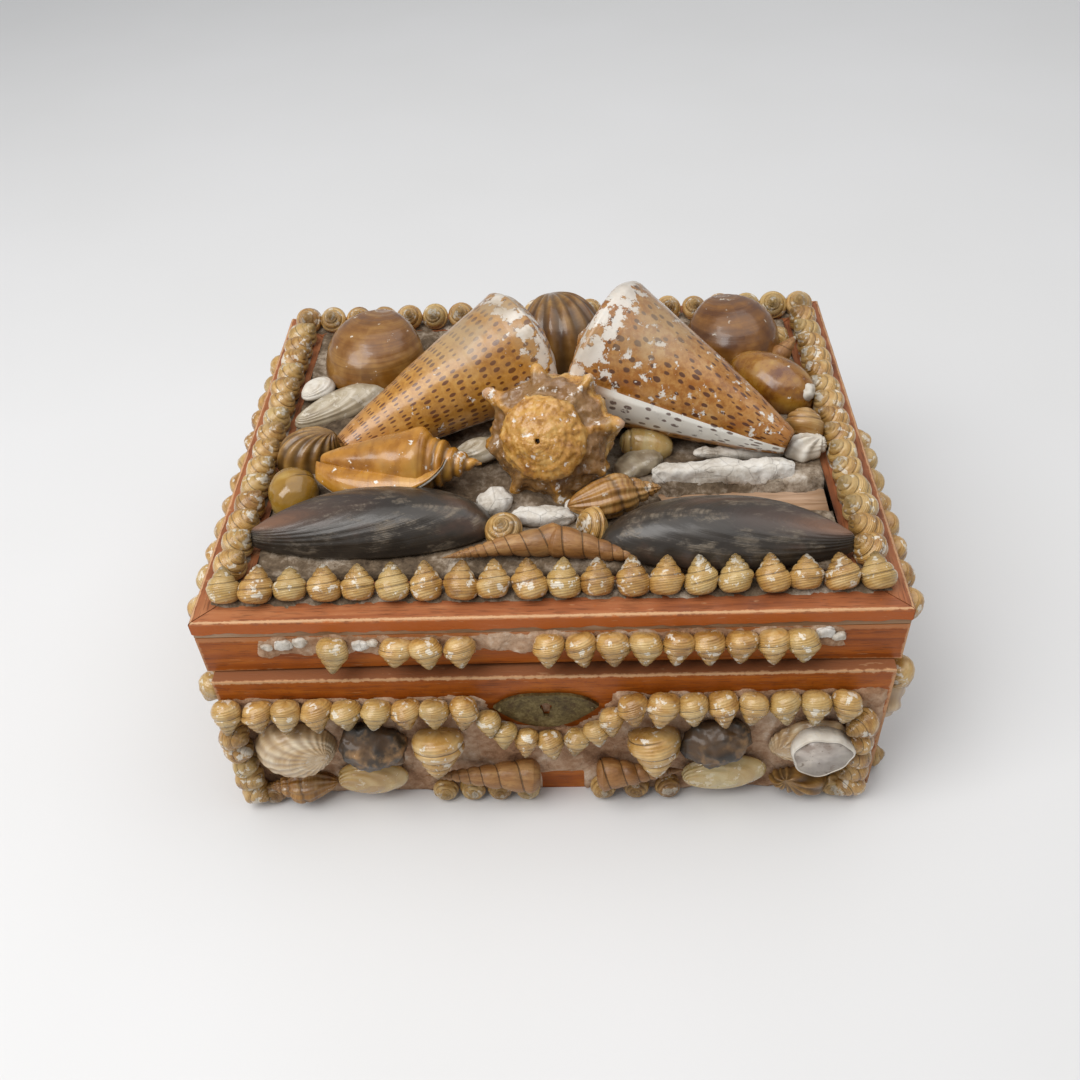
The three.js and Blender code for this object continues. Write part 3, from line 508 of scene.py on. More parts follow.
shellLooks = {
    "cream": {"tones": ((0.3, 0.14, 0.03), (0.5, 0.285, 0.08), (0.64, 0.45, 0.2)),
              "tint": (0.42, 0.29, 0.09),
              "spiral": True, "chalkGlintFrom": 0.58, "chalk": 0.75, "chalkGlintTone": (0.8, 0.75, 0.64),
              "threads": 6.0,
              "threadDepth": 0.5, "grime": 0.3,
              "vary": 0.16, "flames": 5.0, "streak": 0.25, "gloss": 0.24, "coat": 0.55, "wornBeak": 0.05},
    "golden": {"tones": ((0.26, 0.12, 0.025), (0.45, 0.25, 0.06), (0.6, 0.42, 0.18)), "spiral": True,
               "chalkGlintFrom": 0.62, "chalk": 0.6, "threads": 5.0, "threadDepth": 0.4, "grime": 0.4,
               "vary": 0.2},
    "amber": {"tones": ((0.24, 0.085, 0.006), (0.44, 0.19, 0.018), (0.56, 0.29, 0.05)), "chalkGlintFrom": 0.63,
              "chalk": 0.95, "chalkGlintTone": (0.8, 0.76, 0.68), "flames": 5.0, "streak": 0.4, "gloss": 0.22,
              "coat": 0.6,
              "threadDepth": 0.05, "grime": 0.25, "vary": 0.1},
    "olive": {"spiral": True, "tones": ((0.2, 0.1, 0.01), (0.32, 0.17, 0.02), (0.48, 0.33, 0.1)),
              "flames": 2.0, "bands": 1.0,
              "streak": 0.1, "threadDepth": 0.03, "chalkGlintFrom": 0.72, "gloss": 0.2, "coat": 0.6,
              "cloud": 9.0},
    "ochreCowrie": {"tones": ((0.13, 0.035, 0.004), (0.29, 0.12, 0.01), (0.42, 0.22, 0.03)), "flames": 6.0,
                    "bands": 5.0, "streak": 0.1, "threadDepth": 0.02, "chalkGlintFrom": 0.66, "chalk": 0.95,
                    "chalkGlintTone": (0.8, 0.77, 0.7), "gloss": 0.2, "coat": 0.6, "cloud": 4.0,
                    "wornBeak": 0.0},
    "brown": {"tones": ((0.1, 0.032, 0.003), (0.2, 0.078, 0.009), (0.33, 0.165, 0.035)), "flames": 6.0,
              "bands": 0.6, "streak": 0.45, "lines": 60.0, "threadDepth": 0.0, "streakDepth": 0.8,
              "chalkGlintFrom": 0.66, "chalk": 0.85, "gloss": 0.28, "grime": 0.2, "deep": (0.05, 0.02, 0.004)},
    "ribbedBrown": {"tones": ((0.14, 0.055, 0.008), (0.27, 0.135, 0.028), (0.45, 0.26, 0.075)),
                    "flames": 4.0, "bands": 2.0,
                    "threadDepth": 0.0, "chalkGlintFrom": 0.72, "sutureShade": 0.7, "deep": (0.035, 0.014, 0.003)},
    "turret": {"tones": ((0.17, 0.065, 0.012), (0.29, 0.13, 0.035), (0.42, 0.23, 0.08)), "flames": 12.0,
               "bands": 0.4,
               "spiral": True, "lines": 70.0, "streak": 0.6, "streakDepth": 1.0, "depth": 0.2,
               "threadDepth": 0.05, "coat": 0.2,
               "gloss": 0.42, "chalkGlintFrom": 0.72},
    "whelk": {"tones": ((0.16, 0.06, 0.01), (0.32, 0.15, 0.03), (0.46, 0.28, 0.1)), "threads": 8.0,
              "threadDepth": 0.6, "chalkGlintFrom": 0.66},
    "pale": {"tones": ((0.33, 0.2, 0.09), (0.53, 0.36, 0.18), (0.72, 0.6, 0.42)), "flames": 6.0,
             "bands": 1.0,
             "threadDepth": 0.0, "sutureShade": 0.45, "deep": (0.2, 0.09, 0.03), "chalkGlintFrom": 0.62, "chalk": 0.5,
             "grime": 0.15},
    "greyPale": {"tones": ((0.25, 0.19, 0.12), (0.42, 0.35, 0.24), (0.62, 0.56, 0.46)), "flames": 6.0,
                 "threadDepth": 0.0, "chalkGlintFrom": 0.58, "chalk": 0.5, "grime": 0.4, "sutureShade": 0.5},
    "white": {"tones": ((0.5, 0.43, 0.34), (0.68, 0.63, 0.55), (0.8, 0.77, 0.71)), "flames": 5.0,
              "streak": 0.15,
              "threadDepth": 0.0, "chalkGlintFrom": 0.55, "grime": 0.35, "grimeTone": (0.3, 0.24, 0.17),
              "coat": 0.15,
              "gloss": 0.4, "sutureShade": 0.5, "deep": (0.22, 0.16, 0.1)},
    "jingle": {"tones": ((0.36, 0.2, 0.05), (0.48, 0.32, 0.11), (0.56, 0.44, 0.21)), "flames": 3.0,
               "bands": 1.0,
               "cloud": 7.0, "threadDepth": 0.0, "streak": 0.2, "chalkGlintFrom": 0.6, "chalk": 0.45,
               "chalkGlintTone": (0.74, 0.68, 0.52), "gloss": 0.14, "coat": 0.8, "grime": 0.2, "through": 0.35},
    "charred": {"tones": ((0.008, 0.007, 0.007), (0.035, 0.024, 0.014), (0.36, 0.2, 0.08)), "flames": 3.0,
                "bands": 3.0, "cloud": 3.2, "threadDepth": 0.0, "chalkGlintFrom": 0.74, "gloss": 0.42,
                "coat": 0.2,
                "grime": 0.0, "streak": 0.1, "vary": 0.2},
}


def musselFinish(name):
    look = {"black": (0.02, 0.016, 0.013), "blue": (0.038, 0.03, 0.023), "plum": (0.1, 0.058, 0.042),
            "tan": (0.2, 0.1, 0.055), "dust": (0.22, 0.175, 0.125)}
    material, tree, surface, place = newFinish(name)
    growth, around, _, _, shade = shellGrid(tree)
    cloud = grainOf(tree, place, 14.0, 4.0, 0.6, (1.8, 1, 1))
    streak = woven(tree, times(tree, growth, 60.0), times(tree, around, 5.0), shade, 3.0, 0.65)
    colour = ramp(tree, cloud, [(0.35, look["black"]), (0.55, look["blue"]), (0.75, look["plum"])])
    beak = ease(tree, plus(tree, growth, times(tree, cloud, 0.5)), 0.85, 0.35)
    colour = mixed(tree, times(tree, beak, 0.75), colour, look["plum"])
    tip = ease(tree, plus(tree, growth, times(tree, streak, 0.2)), 0.42, 0.14)
    colour = mixed(tree, times(tree, tip, 0.8), colour, look["tan"])
    dust = times(tree, ease(tree, grainOf(tree, place, 5.0, 6.0, 0.7, (2.2, 1, 1)), 0.5, 0.68),
                 ease(tree, streak, 0.4, 0.6, 0.2, 0.75))
    colour = mixed(tree, dust, colour, look["dust"])
    rough = ease(tree, dust, 0.0, 1.0, 0.3, 0.6)
    setSurface(tree, surface, colour, rough, plus(tree, streak, dust), 0.12, Coat_Weight=0.25,
               Coat_Roughness=0.2,
               Specular_IOR_Level=0.45)
    return material


def coneFinish(name, look):
    # rows of dark spots round a warm ground, scuffed white at the shoulder and in patches
    material, tree, surface, place = newFinish(name)
    growth, around, _, wear, _ = shellGrid(tree)
    cloud = grainOf(tree, place, 13.0, 4.0)
    speckle = grainOf(tree, place, 1.5, 3.0, 0.6)
    ground = ramp(tree, blended(tree, cloud, speckle, 0.6),
                  [(0.36, look["tones"][0]), (0.5, look["tones"][1]), (0.64, look["tones"][2])])
    ground = mixed(tree, ease(tree, growth, 0.35, 0.02, 0.0, 0.55), ground, look["tip"])
    if look["mottle"]:
        stain = ease(tree, grainOf(tree, place, 3.6, 5.0, 0.68), 0.5, 0.6, 0.0, look["mottle"])
        ground = mixed(tree, stain, ground, look["stain"])
    grid = add(tree, "CombineXYZ", {0: times(tree, growth, look["rows"]),
                                    1: times(tree, around, look["spots"]), 2: 0.0}).outputs[0]
    cell = add(tree, "TexVoronoi", {"Vector": grid, "Scale": 1.0, "Randomness": look["stray"]},
               voronoi_dimensions="2D")
    pick = add(tree, "SeparateXYZ", {0: cell.outputs["Color"]}).outputs[0]
    size = plus(tree, look["spotSize"], times(tree, less(tree, pick, 0.5), 0.16))
    size = plus(tree, size, times(tree, less(tree, speckle, 0.5), 0.25))
    edge = less(tree, cell.outputs["Distance"], size)
    spot = ease(tree, edge, 0.03, -0.05, 0.0, 0.92)
    colour = mixed(tree, spot, ground, look["spotTone"])
    shell = add(tree, "SeparateXYZ", {0: place})
    low = ease(tree, plus(tree, around, times(tree, less(tree, cloud, 0.5), 0.06)),
               look["whiteEdge"], look["whiteEdge"] + 0.02)
    low = times(tree, low, ease(tree, growth, 0.95, 0.8))
    belly = mixed(tree, times(tree, spot, look["bellySpots"]), (0.8, 0.77, 0.7), look["spotTone"])
    colour = mixed(tree, low, colour, belly)
    worn = plus(tree, grainOf(tree, place, 4.5, 6.0, 0.66), times(tree, wear, look["wornShoulder"]))
    bare = ease(tree, worn, look["wornFrom"], look["wornFrom"] + 0.035)
    colour = mixed(tree, times(tree, bare, 0.85), colour, (0.76, 0.73, 0.67))
    rings = woven(tree, times(tree, growth, 90.0), times(tree, around, 4.0))
    dusty = times(tree, ease(tree, shell.outputs[2], look["dustFrom"], look["dustFrom"] + 12.0),
                  ease(tree, cloud, 0.35, 0.6, 0.1, look["dust"]))
    colour = mixed(tree, dusty, colour, (0.33, 0.25, 0.16))
    height = less(tree, times(tree, rings, 0.5), times(tree, bare, 0.7))
    setSurface(tree, surface, colour, ease(tree, cloud, 0.3, 0.7, 0.26, 0.42), height, 0.12,
               Coat_Weight=0.45,
               Coat_Roughness=0.1)
    return material


def crownFinish(name):
    # rough varnished ochre, grey-brown in the grooves as mud and painted shade, chalky white and pink where
    # it has worn
    material, tree, surface, place = newFinish(name)
    _, _, groove, wear, _ = shellGrid(tree)
    cloud = grainOf(tree, place, 7.0, 5.0, 0.6)
    grit = grainOf(tree, place, 1.6, 5.0, 0.7)
    colour = ramp(tree, blended(tree, cloud, grit, 0.6),
                  [(0.36, (0.24, 0.09, 0.012)), (0.5, (0.5, 0.24, 0.04)), (0.64, (0.68, 0.43, 0.14))])
    # grey-brown in the hollows: partly mud, partly painted shade
    mudAndShade = ease(tree, plus(tree, groove, times(tree, cloud, 0.8)), 0.72, 0.98, 0.0, 0.85)
    colour = mixed(tree, mudAndShade, colour, (0.2, 0.1, 0.035))
    pink = ease(tree, plus(tree, wear, times(tree, cloud, 0.5)), 0.72, 0.95)
    colour = mixed(tree, times(tree, pink, 0.75), colour, (0.6, 0.4, 0.29))
    chalk = ease(tree, plus(tree, times(tree, wear, 0.16), grainOf(tree, place, 3.4, 6.0, 0.7)), 0.62, 0.66)
    colour = mixed(tree, times(tree, chalk, 0.9), colour, (0.82, 0.77, 0.7))
    setSurface(tree, surface, colour, ease(tree, grit, 0.35, 0.65, 0.2, 0.5), plus(tree, grit, cloud), 0.4,
               Coat_Weight=0.5, Coat_Roughness=0.12)
    return material


def plasterFinish(name, look):
    material, tree, surface, place = newFinish(name)
    cloud = grainOf(tree, place, 12.0, 5.0, 0.6)
    grit = grainOf(tree, place, 1.8, 6.0, 0.7)
    colour = ramp(tree, blended(tree, cloud, grit, 0.65), look["stops"])
    cells = add(tree, "Mapping", {"Vector": place, "Scale": (0.11, 0.13, 0.11)}).outputs[0]
    crack = add(tree, "TexVoronoi", {"Vector": cells, "Scale": 1.0},
                feature="DISTANCE_TO_EDGE").outputs["Distance"]
    line = ease(tree, plus(tree, crack, times(tree, grit, 0.03)), 0.03, 0.017, 0.0, look["cracks"])
    colour = mixed(tree, line, colour, (0.12, 0.09, 0.06))
    height = less(tree, plus(tree, grit, cloud), line)
    setSurface(tree, surface, colour, 0.85, height, 0.5, Specular_IOR_Level=0.3)
    return material


plasterLooks = {
    "plaster": {"stops": [(0.36, (0.05, 0.032, 0.018)), (0.48, (0.15, 0.105, 0.065)),
                          (0.58, (0.36, 0.29, 0.22)),
                          (0.7, (0.62, 0.56, 0.49))], "cracks": 0.2},
    "whitePlaster": {"stops": [(0.32, (0.25, 0.2, 0.15)), (0.44, (0.55, 0.5, 0.43)),
                               (0.6, (0.76, 0.73, 0.68))],
                     "cracks": 0.25},
    "glue": {"stops": [(0.34, (0.17, 0.08, 0.038)), (0.46, (0.36, 0.2, 0.11)), (0.57, (0.53, 0.36, 0.24)),
                       (0.68, (0.72, 0.6, 0.48))], "cracks": 0.15},
}


plainWood = {"figure": 3.0, "pores": 0.5, "pore": (0.07, 0.02, 0.006), "edges": [],
             "rubbed": (0.62, 0.38, 0.2), "bands": [], "gloss": 0.4, "coat": 0.3}


def woodFinish(name, look):
    # straight grain along one axis, open pores, pale worn lines where an edge has rubbed through, and
    # tinted bands between two levels, among them painted shade on the case walls
    look = {**plainWood, **look}
    material, tree, surface, place = newFinish(name)
    stretch = [1.0, 1.0, 1.0]
    stretch[look["along"]] = 16.0
    stretch = tuple(stretch)
    figure = grainOf(tree, place, look["figure"], 4.0, 0.6, stretch, 0.6)
    pores = grainOf(tree, place, 0.42, 2.0, 0.5, stretch)
    cloud = grainOf(tree, place, 22.0, 3.0)
    tone = blended(tree, figure, cloud, 0.6)
    dark, middle, light = look["tones"]
    colour = ramp(tree, tone, [(0.36, dark), (0.5, middle), (0.64, light)])
    pit = ease(tree, pores, 0.56, 0.66, 0.0, look["pores"])
    colour = mixed(tree, pit, colour, look["pore"])
    parts = add(tree, "SeparateXYZ", {0: place}).outputs
    wobble = times(tree, less(tree, grainOf(tree, place, 2.2, 5.0, 0.7), 0.5), 2.6)
    for axis, at, width, strength in look["edges"]:
        away = calc(tree, "ABSOLUTE", less(tree, parts[axis], at))
        away = plus(tree, away, times(tree, wobble, width))
        rubbed = ease(tree, away, width, 0.35 * width, 0.0, strength)
        colour = mixed(tree, rubbed, colour, look["rubbed"])
    # tinted bands: torn veneer, and on the case walls painted shade from the lid
    for axis, low, high, tint, strength in look["bands"]:
        here = plus(tree, parts[axis], wobble)
        band = times(tree, ease(tree, here, low - 0.4, low + 0.4), ease(tree, here, high + 0.4, high - 0.4))
        colour = mixed(tree, times(tree, band, strength), colour, tint)
    scratch = ease(tree, grainOf(tree, place, 0.7, 3.0, 0.6, (9, 2, 1)), 0.66, 0.72, 0.0, 0.3)
    colour = mixed(tree, scratch, colour, look["rubbed"])
    height = less(tree, times(tree, figure, 0.3), pit)
    gloss = look["gloss"]
    setSurface(tree, surface, colour, ease(tree, cloud, 0.3, 0.7, gloss, gloss + 0.15), height, 0.08,
               Coat_Weight=look["coat"], Coat_Roughness=0.2, Specular_IOR_Level=0.28)
    return material


def brassFinish(name):
    material, tree, surface, place = newFinish(name)
    cloud = grainOf(tree, place, 5.0, 5.0, 0.65)
    grit = grainOf(tree, place, 0.8, 4.0, 0.7)
    colour = ramp(tree, blended(tree, cloud, grit, 0.6),
                  [(0.36, (0.045, 0.026, 0.008)), (0.5, (0.12, 0.085, 0.03)), (0.66, (0.26, 0.2, 0.085))])
    stain = ease(tree, grainOf(tree, place, 2.4, 4.0), 0.55, 0.7, 0.0, 0.7)
    colour = mixed(tree, stain, colour, (0.06, 0.03, 0.012))
    setSurface(tree, surface, colour, ease(tree, cloud, 0.3, 0.7, 0.42, 0.62), grit, 0.05, Metallic=0.55,
               Specular_IOR_Level=0.4)
    return material


def holeShadeFinish(name):  # painted shade: near-black for the hole down a spire, and for the lock behind its keyhole
    material, tree, surface, place = newFinish(name)
    colour = ramp(tree, grainOf(tree, place, 1.5), [(0.4, (0.008, 0.004, 0.003)),
                                                    (0.65, (0.035, 0.015, 0.01))])
    setSurface(tree, surface, colour, 0.6)
    return material


def greyNacre(name):  # the smooth grey inside of a broken valve
    material, tree, surface, place = newFinish(name)
    cloud = grainOf(tree, place, 6.0, 4.0)
    colour = ramp(tree, cloud, [(0.35, (0.3, 0.24, 0.2)), (0.52, (0.47, 0.41, 0.36)),
                                (0.68, (0.62, 0.55, 0.47))])
    colour = mixed(tree, ease(tree, grainOf(tree, place, 2.0, 5.0), 0.62, 0.7, 0.0, 0.8), colour,
                   (0.15, 0.1, 0.06))
    setSurface(tree, surface, colour, ease(tree, cloud, 0.3, 0.7, 0.25, 0.4), cloud, 0.05, Coat_Weight=0.4,
               Coat_Roughness=0.15)
    return material


caseLow, caseHigh = boxOf("case_front_board")
caseBack = boxOf("case_back_board")[1][1]
lidLow, lidHigh = boxOf("lid_front_board")
facingLow, facingHigh = boxOf("lid_facing_front")
lidBack = boxOf("lid_facing_back")[1][1]
topBoard = boxOf("lid_top_board")[1][2]
fieldLow, fieldHigh = boxOf("lid_plaster_bed")
plateLow, plateHigh = boxOf("lock_plate")
halfCase = caseHigh[0]
halfLid = lidHigh[0]
lidTop = facingHigh[2]
lidFront = facingLow[1]
caseFront = caseLow[1]
caseTop = caseHigh[2]
bedTop = fieldHigh[2]
gap = 0.35  # between a board and what lies on it
faceBed = 1.0  # plaster under the shells on an upright face
sink = 0.6  # how deep a shell or a crust reaches into what carries it
floorClear = 0.35  # how far the lowest shells stay above the floor

veneer = {"tones": ((0.2, 0.042, 0.002), (0.34, 0.08, 0.004), (0.44, 0.125, 0.010)), "gloss": 0.42,
          "coat": 0.06, "pores": 0.45}
torn = (0.47, 0.19, 0.07)
woodLooks = {
    "lidFrameX": {"tones": ((0.19, 0.055, 0.02), (0.32, 0.1, 0.034), (0.42, 0.165, 0.065)), "along": 0,
                  "gloss": 0.5, "coat": 0.1, "edges": [(1, lidFront + 0.2, 0.55, 0.8),
                                                       (1, lidBack - 0.2, 0.55, 0.7)],
                  "bands": [(2, lidTop - 5, lidTop - 0.6, (0.41, 0.095, 0.01), 0.95)]},
    "lidFrameY": {"tones": ((0.17, 0.05, 0.02), (0.3, 0.1, 0.036), (0.4, 0.16, 0.065)), "along": 1,
                  "gloss": 0.5, "coat": 0.1, "edges": [(0, -halfLid + 0.2, 0.5, 0.7),
                                                       (0, halfLid - 0.2, 0.5, 0.7)],
                  "bands": [(2, lidTop - 5, lidTop - 0.6, (0.38, 0.1, 0.015), 0.9)]},
    "lidSideX": {**veneer, "along": 0, "edges": [(2, lidLow[2], 0.8, 0.35), (0, halfLid, 0.9, 0.6),
                                                 (0, -halfLid, 0.9, 0.5)],
                 "bands": [(2, lidHigh[2] - 1.6, lidTop, torn, 0.75)]},
    "lidSideY": {**veneer, "along": 1, "edges": [(2, lidLow[2], 0.8, 0.35)],
                 "bands": [(2, lidHigh[2] - 1.6, lidTop, torn, 0.6)]},
    # the darker band over the top and inside faces of the case walls is painted shade from the lid
    "caseX": {**veneer, "along": 0, "edges": [(2, caseTop, 1.1, 0.85), (0, halfCase, 1.2, 0.6),
                                              (0, -halfCase, 1.0, 0.6)],
              "bands": [(1, caseFront + 0.4, caseBack - 0.4, (0.17, 0.035, 0.006), 0.8)]},
    "caseY": {**veneer, "along": 1, "edges": [(2, caseTop, 1.1, 0.7)],
              "bands": [(0, -halfCase + 0.4, halfCase - 0.4, (0.2, 0.045, 0.008), 0.7)]},
    "bare": {"tones": ((0.2, 0.1, 0.045), (0.32, 0.19, 0.105), (0.45, 0.3, 0.2)), "along": 0, "gloss": 0.7,
             "coat": 0.0, "pores": 0.3, "pore": (0.12, 0.07, 0.035), "rubbed": (0.55, 0.43, 0.32)},
}
made = {}


def finishOf(name):
    if name not in made:
        if name in shellLooks:
            made[name] = shellFinish(name, shellLooks[name])
        elif name in plasterLooks:
            made[name] = plasterFinish(name, plasterLooks[name])
        elif name in woodLooks:
            made[name] = woodFinish(name, woodLooks[name])
        elif name in coneLooks:
            made[name] = coneFinish(name, coneLooks[name])
        else:
            maker = {"mussel": musselFinish, "crown": crownFinish, "brass": brassFinish, "dark": holeShadeFinish,
                     "nacre": greyNacre}[name]
            made[name] = maker(name)
    return made[name]


def dress(node, finish, bevel=0.3):  # a board keeps its solid, with its edges just broken
    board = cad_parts[node]
    board.data.materials.clear()
    board.data.materials.append(finishOf(finish))
    rounding = board.modifiers.new("broken_edge", "BEVEL")
    rounding.width = bevel * mm
    rounding.segments = 2
    rounding.limit_method = "ANGLE"


def boards():
    for node, finish in (("case_front_board", "caseX"), ("case_back_board", "caseX"),
                         ("case_left_board", "caseY"),
                         ("case_right_board", "caseY"), ("case_floor_board", "bare"),
                         ("lid_front_board", "lidSideX"),
                         ("lid_back_board", "lidSideX"), ("lid_left_board", "lidSideY"),
                         ("lid_right_board", "lidSideY"), ("lid_top_board", "bare")):
        dress(node, finish)
    dress("lock_plate", "brass", 0.25)
    # the lock case behind the keyhole is painted near-black as shade
    dress("lock_case", "dark")


frameLook = {"width": 15.0, "lip": 0.35, "lipDrop": 4.6, "ragged": 0.9, "mitre": 0.22, "stations": 160}


def frameBoards():
    under = lidTop - (facingHigh[2] - facingLow[2])
    w, lip, drop = frameLook["width"], frameLook["lip"], frameLook["lipDrop"]
    for name, half, edge, outward in (("front", halfLid, -lidFront, (0, -1, 0)),
                                      ("back", halfLid, lidBack, (0, 1, 0)),
                                      ("left", (lidBack - lidFront) / 2, halfLid, (-1, 0, 0)),
                                      ("right", (lidBack - lidFront) / 2, halfLid, (1, 0, 0))):
        out = np.array(outward, float)
        run = np.cross(out, (0, 0, 1))
        centre = np.array([0, 0 if out[1] else (lidFront + lidBack) / 2, 0])
        stations = np.linspace(-1, 1, frameLook["stations"])
        ragged = frameLook["ragged"] * fractal(np.stack([stations * half, 0 * stations, 0 * stations], -1),
                                               5.0, 4,
                                               half + out[0] + out[1])
        chip = 0.16 * fractal(np.stack([stations * half, 0 * stations + 9, 0 * stations], -1), 3.0, 3, 2
                              + out[0])
        rings = []
        for s, r, c in zip(stations, ragged, chip):
            profile = [(-w, under), (-w, lidTop - 0.15), (-w + 0.2, lidTop), (-w / 2, lidTop),
                       (-1.2, lidTop),
                       (-0.3 + c, lidTop - 0.02), (0.05 + c, lidTop - 0.2), (lip, lidTop - 0.6 + c),
                       (lip, lidTop - drop / 2), (lip, lidTop - drop + 0.25 + r),
                       (lip - 0.18, lidTop - drop + r),
                       (0.04, lidTop - drop + 0.1 + r), (0.04, under), (-w / 2, under)]
            ring = []
            for o, z in profile:
                reach = half - frameLook["mitre"] + min(o, 0)
                ring.append(centre + out * (edge + o) + run * s * (reach + max(o, 0)) + np.array([0, 0, z]))
            rings.append(ring)
        part = skin(np.array(rings), stations, np.linspace(0, 1, 15),
                    "lidFrameX" if out[1] else "lidFrameY")
        piece = makePiece("lid_frame_" + name, part, ("lid_facing_" + name,))
        for polygon in piece.data.polygons:
            polygon.use_smooth = False


def crust(u, v, n, uRange, vRange, cell, height, base, finish):
    # a sheet over a rectangle: where its height is below the board it lies on, it can't be seen
    us = np.linspace(*uRange, int((uRange[1] - uRange[0]) / cell))
    vs = np.linspace(*vRange, int((vRange[1] - vRange[0]) / cell))
    u, v, n = (np.array(axis, float) for axis in (u, v, n))
    gridU, gridV = np.meshgrid(us, vs, indexing="ij")
    top = height(gridU, gridV)
    face = gridU[..., None] * u + gridV[..., None] * v + top[..., None] * n
    back = [us[:, None] * u + vs[k] * v + base * n for k in (-1, 0)]
    rings = np.concatenate([face, back[0][:, None], back[1][:, None]], 1)
    columns = rings.shape[1]
    return skin(rings, np.linspace(0, 1, len(us)), np.linspace(0, 1, columns + 1), finish)


def noiseOver(a, b, grain, octaves, seed):
    return fractal(np.stack([a, b, 0 * a], -1), grain, octaves, seed)


topShell = {"widen": 1.72, "rows": 32, "columns": 24, "sutureTo": 0.12,
            "outline": [(0.02, -0.46), (0.5, -0.45), (0.84, -0.36), (1.0, -0.17), (0.95, 0.0), (0.77, 0.12),
                        (0.58, 0.23), (0.39, 0.345), (0.2, 0.45), (0.03, 0.5)]}
plainTop = {**topShell, "rows": 20, "columns": 16}
flatSnail = {**topShell, "widen": 1.9, "rows": 24, "columns": 22, "swell": 0.07,
             "outline": [(0.02, -0.5), (0.7, -0.45), (1.0, -0.1), (0.82, 0.2), (0.5, 0.36), (0.2, 0.47),
                         (0.03, 0.5)]}


def topAt(at, axis, back, wide, tall, normal, offset, finish="cream", look=topShell):
    # one small shell with its mouth turned to the back, pressed a little into its bed
    spin = dice.normal(0, 0.7)
    part = snail(look, finish, wide * dice.normal(1, 0.04), tall * dice.normal(1, 0.05), dice.random(),
                 dice.random())
    axis = unit(axis)
    side = np.cross(axis, back)
    facing = np.array(back) * math.cos(spin) + side * math.sin(spin)
    placed(part, np.asarray(at, float) + 0.08 * tall * axis, axis, facing)
    return pressed(part, normal, offset)


border = {"across": 20, "down": 15, "inset": 8.6, "wide": 9.9, "tall": 11.4, "rise": 3.9, "lean": 0.75}


def borders():
    x = halfLid - border["inset"]
    front = lidFront + border["inset"] + 0.9
    back = lidBack - border["inset"]
    z = lidTop + border["rise"]
    offset = lidTop + gap + 0.35
    rows = {
        "front": ([(at, front, z) for at in np.linspace(-x, x, border["across"])], (0, 1)),
        "back": ([(at, back, z) for at in np.linspace(-x, x, border["across"])], (0, -1)),
        "left": ([(-x, at, z) for at in np.linspace(front + 10, back - 10, border["down"])], (1, 0)),
        "right": ([(x, at, z) for at in np.linspace(front + 10, back - 10, border["down"])], (-1, 0)),
    }
    for name, (places, lean) in rows.items():
        parts = []
        inward = np.array([lean[0], lean[1], 0], float)
        for at in places:
            axis = inward * border["lean"] + (dice.normal(0, 0.07), dice.normal(0, 0.07), 0.8)
            parts.append(topAt(at, axis, inward, border["wide"], border["tall"], (0, 0, 1), offset))
        run = np.cross((0, 0, 1), inward)
        length = abs(np.dot(np.array(places[-1]) - places[0], run)) / 2 + 4.4
        middle = (np.array(places[0]) + places[-1]) / 2

        def dirt(u, v):
            ragged = 1.2 * noiseOver(u, v, 4.0, 3, 3.0 + lean[0])
            inside = smooth(3.6 - np.abs(v) + ragged, 0, 1.0) * smooth(length - np.abs(u) + ragged, 0, 1.0)
            return lidTop - 0.4 + inside * (1.1 + 0.3 * noiseOver(u, v, 2.0, 3, 8.0))
        bed = crust(run, inward, (0, 0, 1), (-length - 1, length + 1), (-5, 5), 0.9, dirt, lidTop - sink,
                    "plaster")
        bed["points"] = bed["points"] + (middle[0], middle[1], 0)
        makePiece("border_shells_" + name, parts + [bed], ("lid_border_" + name,))
    print("border rows done")


edgeRows = {
    "front": {"node": "lid_front_row", "outward": (0, -1, 0), "scar": 84.0,
              "along": [-60.5, -43, -34, -25, 0, 9.3, 18.6, 27.7, 36.4, 45, 53.8, 62.6, 71],
              "chips": [(-80, 0.5), (-75, 0.9), (-70, 0.7), (-53, 0.8), (-49.5, 0.5), (77, 0.9),
                        (81, 0.6)]},
    "left": {"node": "lid_left_row", "outward": (-1, 0, 0), "scar": 70.0,
             "along": list(np.linspace(-62, 62, 12)),
             "chips": []},
    "right": {"node": "lid_right_row", "outward": (1, 0, 0), "scar": 70.0,
              "along": list(np.linspace(-66, 8, 8)),
              "chips": []},
}
edgeShell = {"wide": 9.6, "tall": 10.8, "drop": 10.4, "out": 2.2}
scarBand = {"low": lidTop - 16, "high": lidTop - 5.2, "chips": lidTop - 9.8}


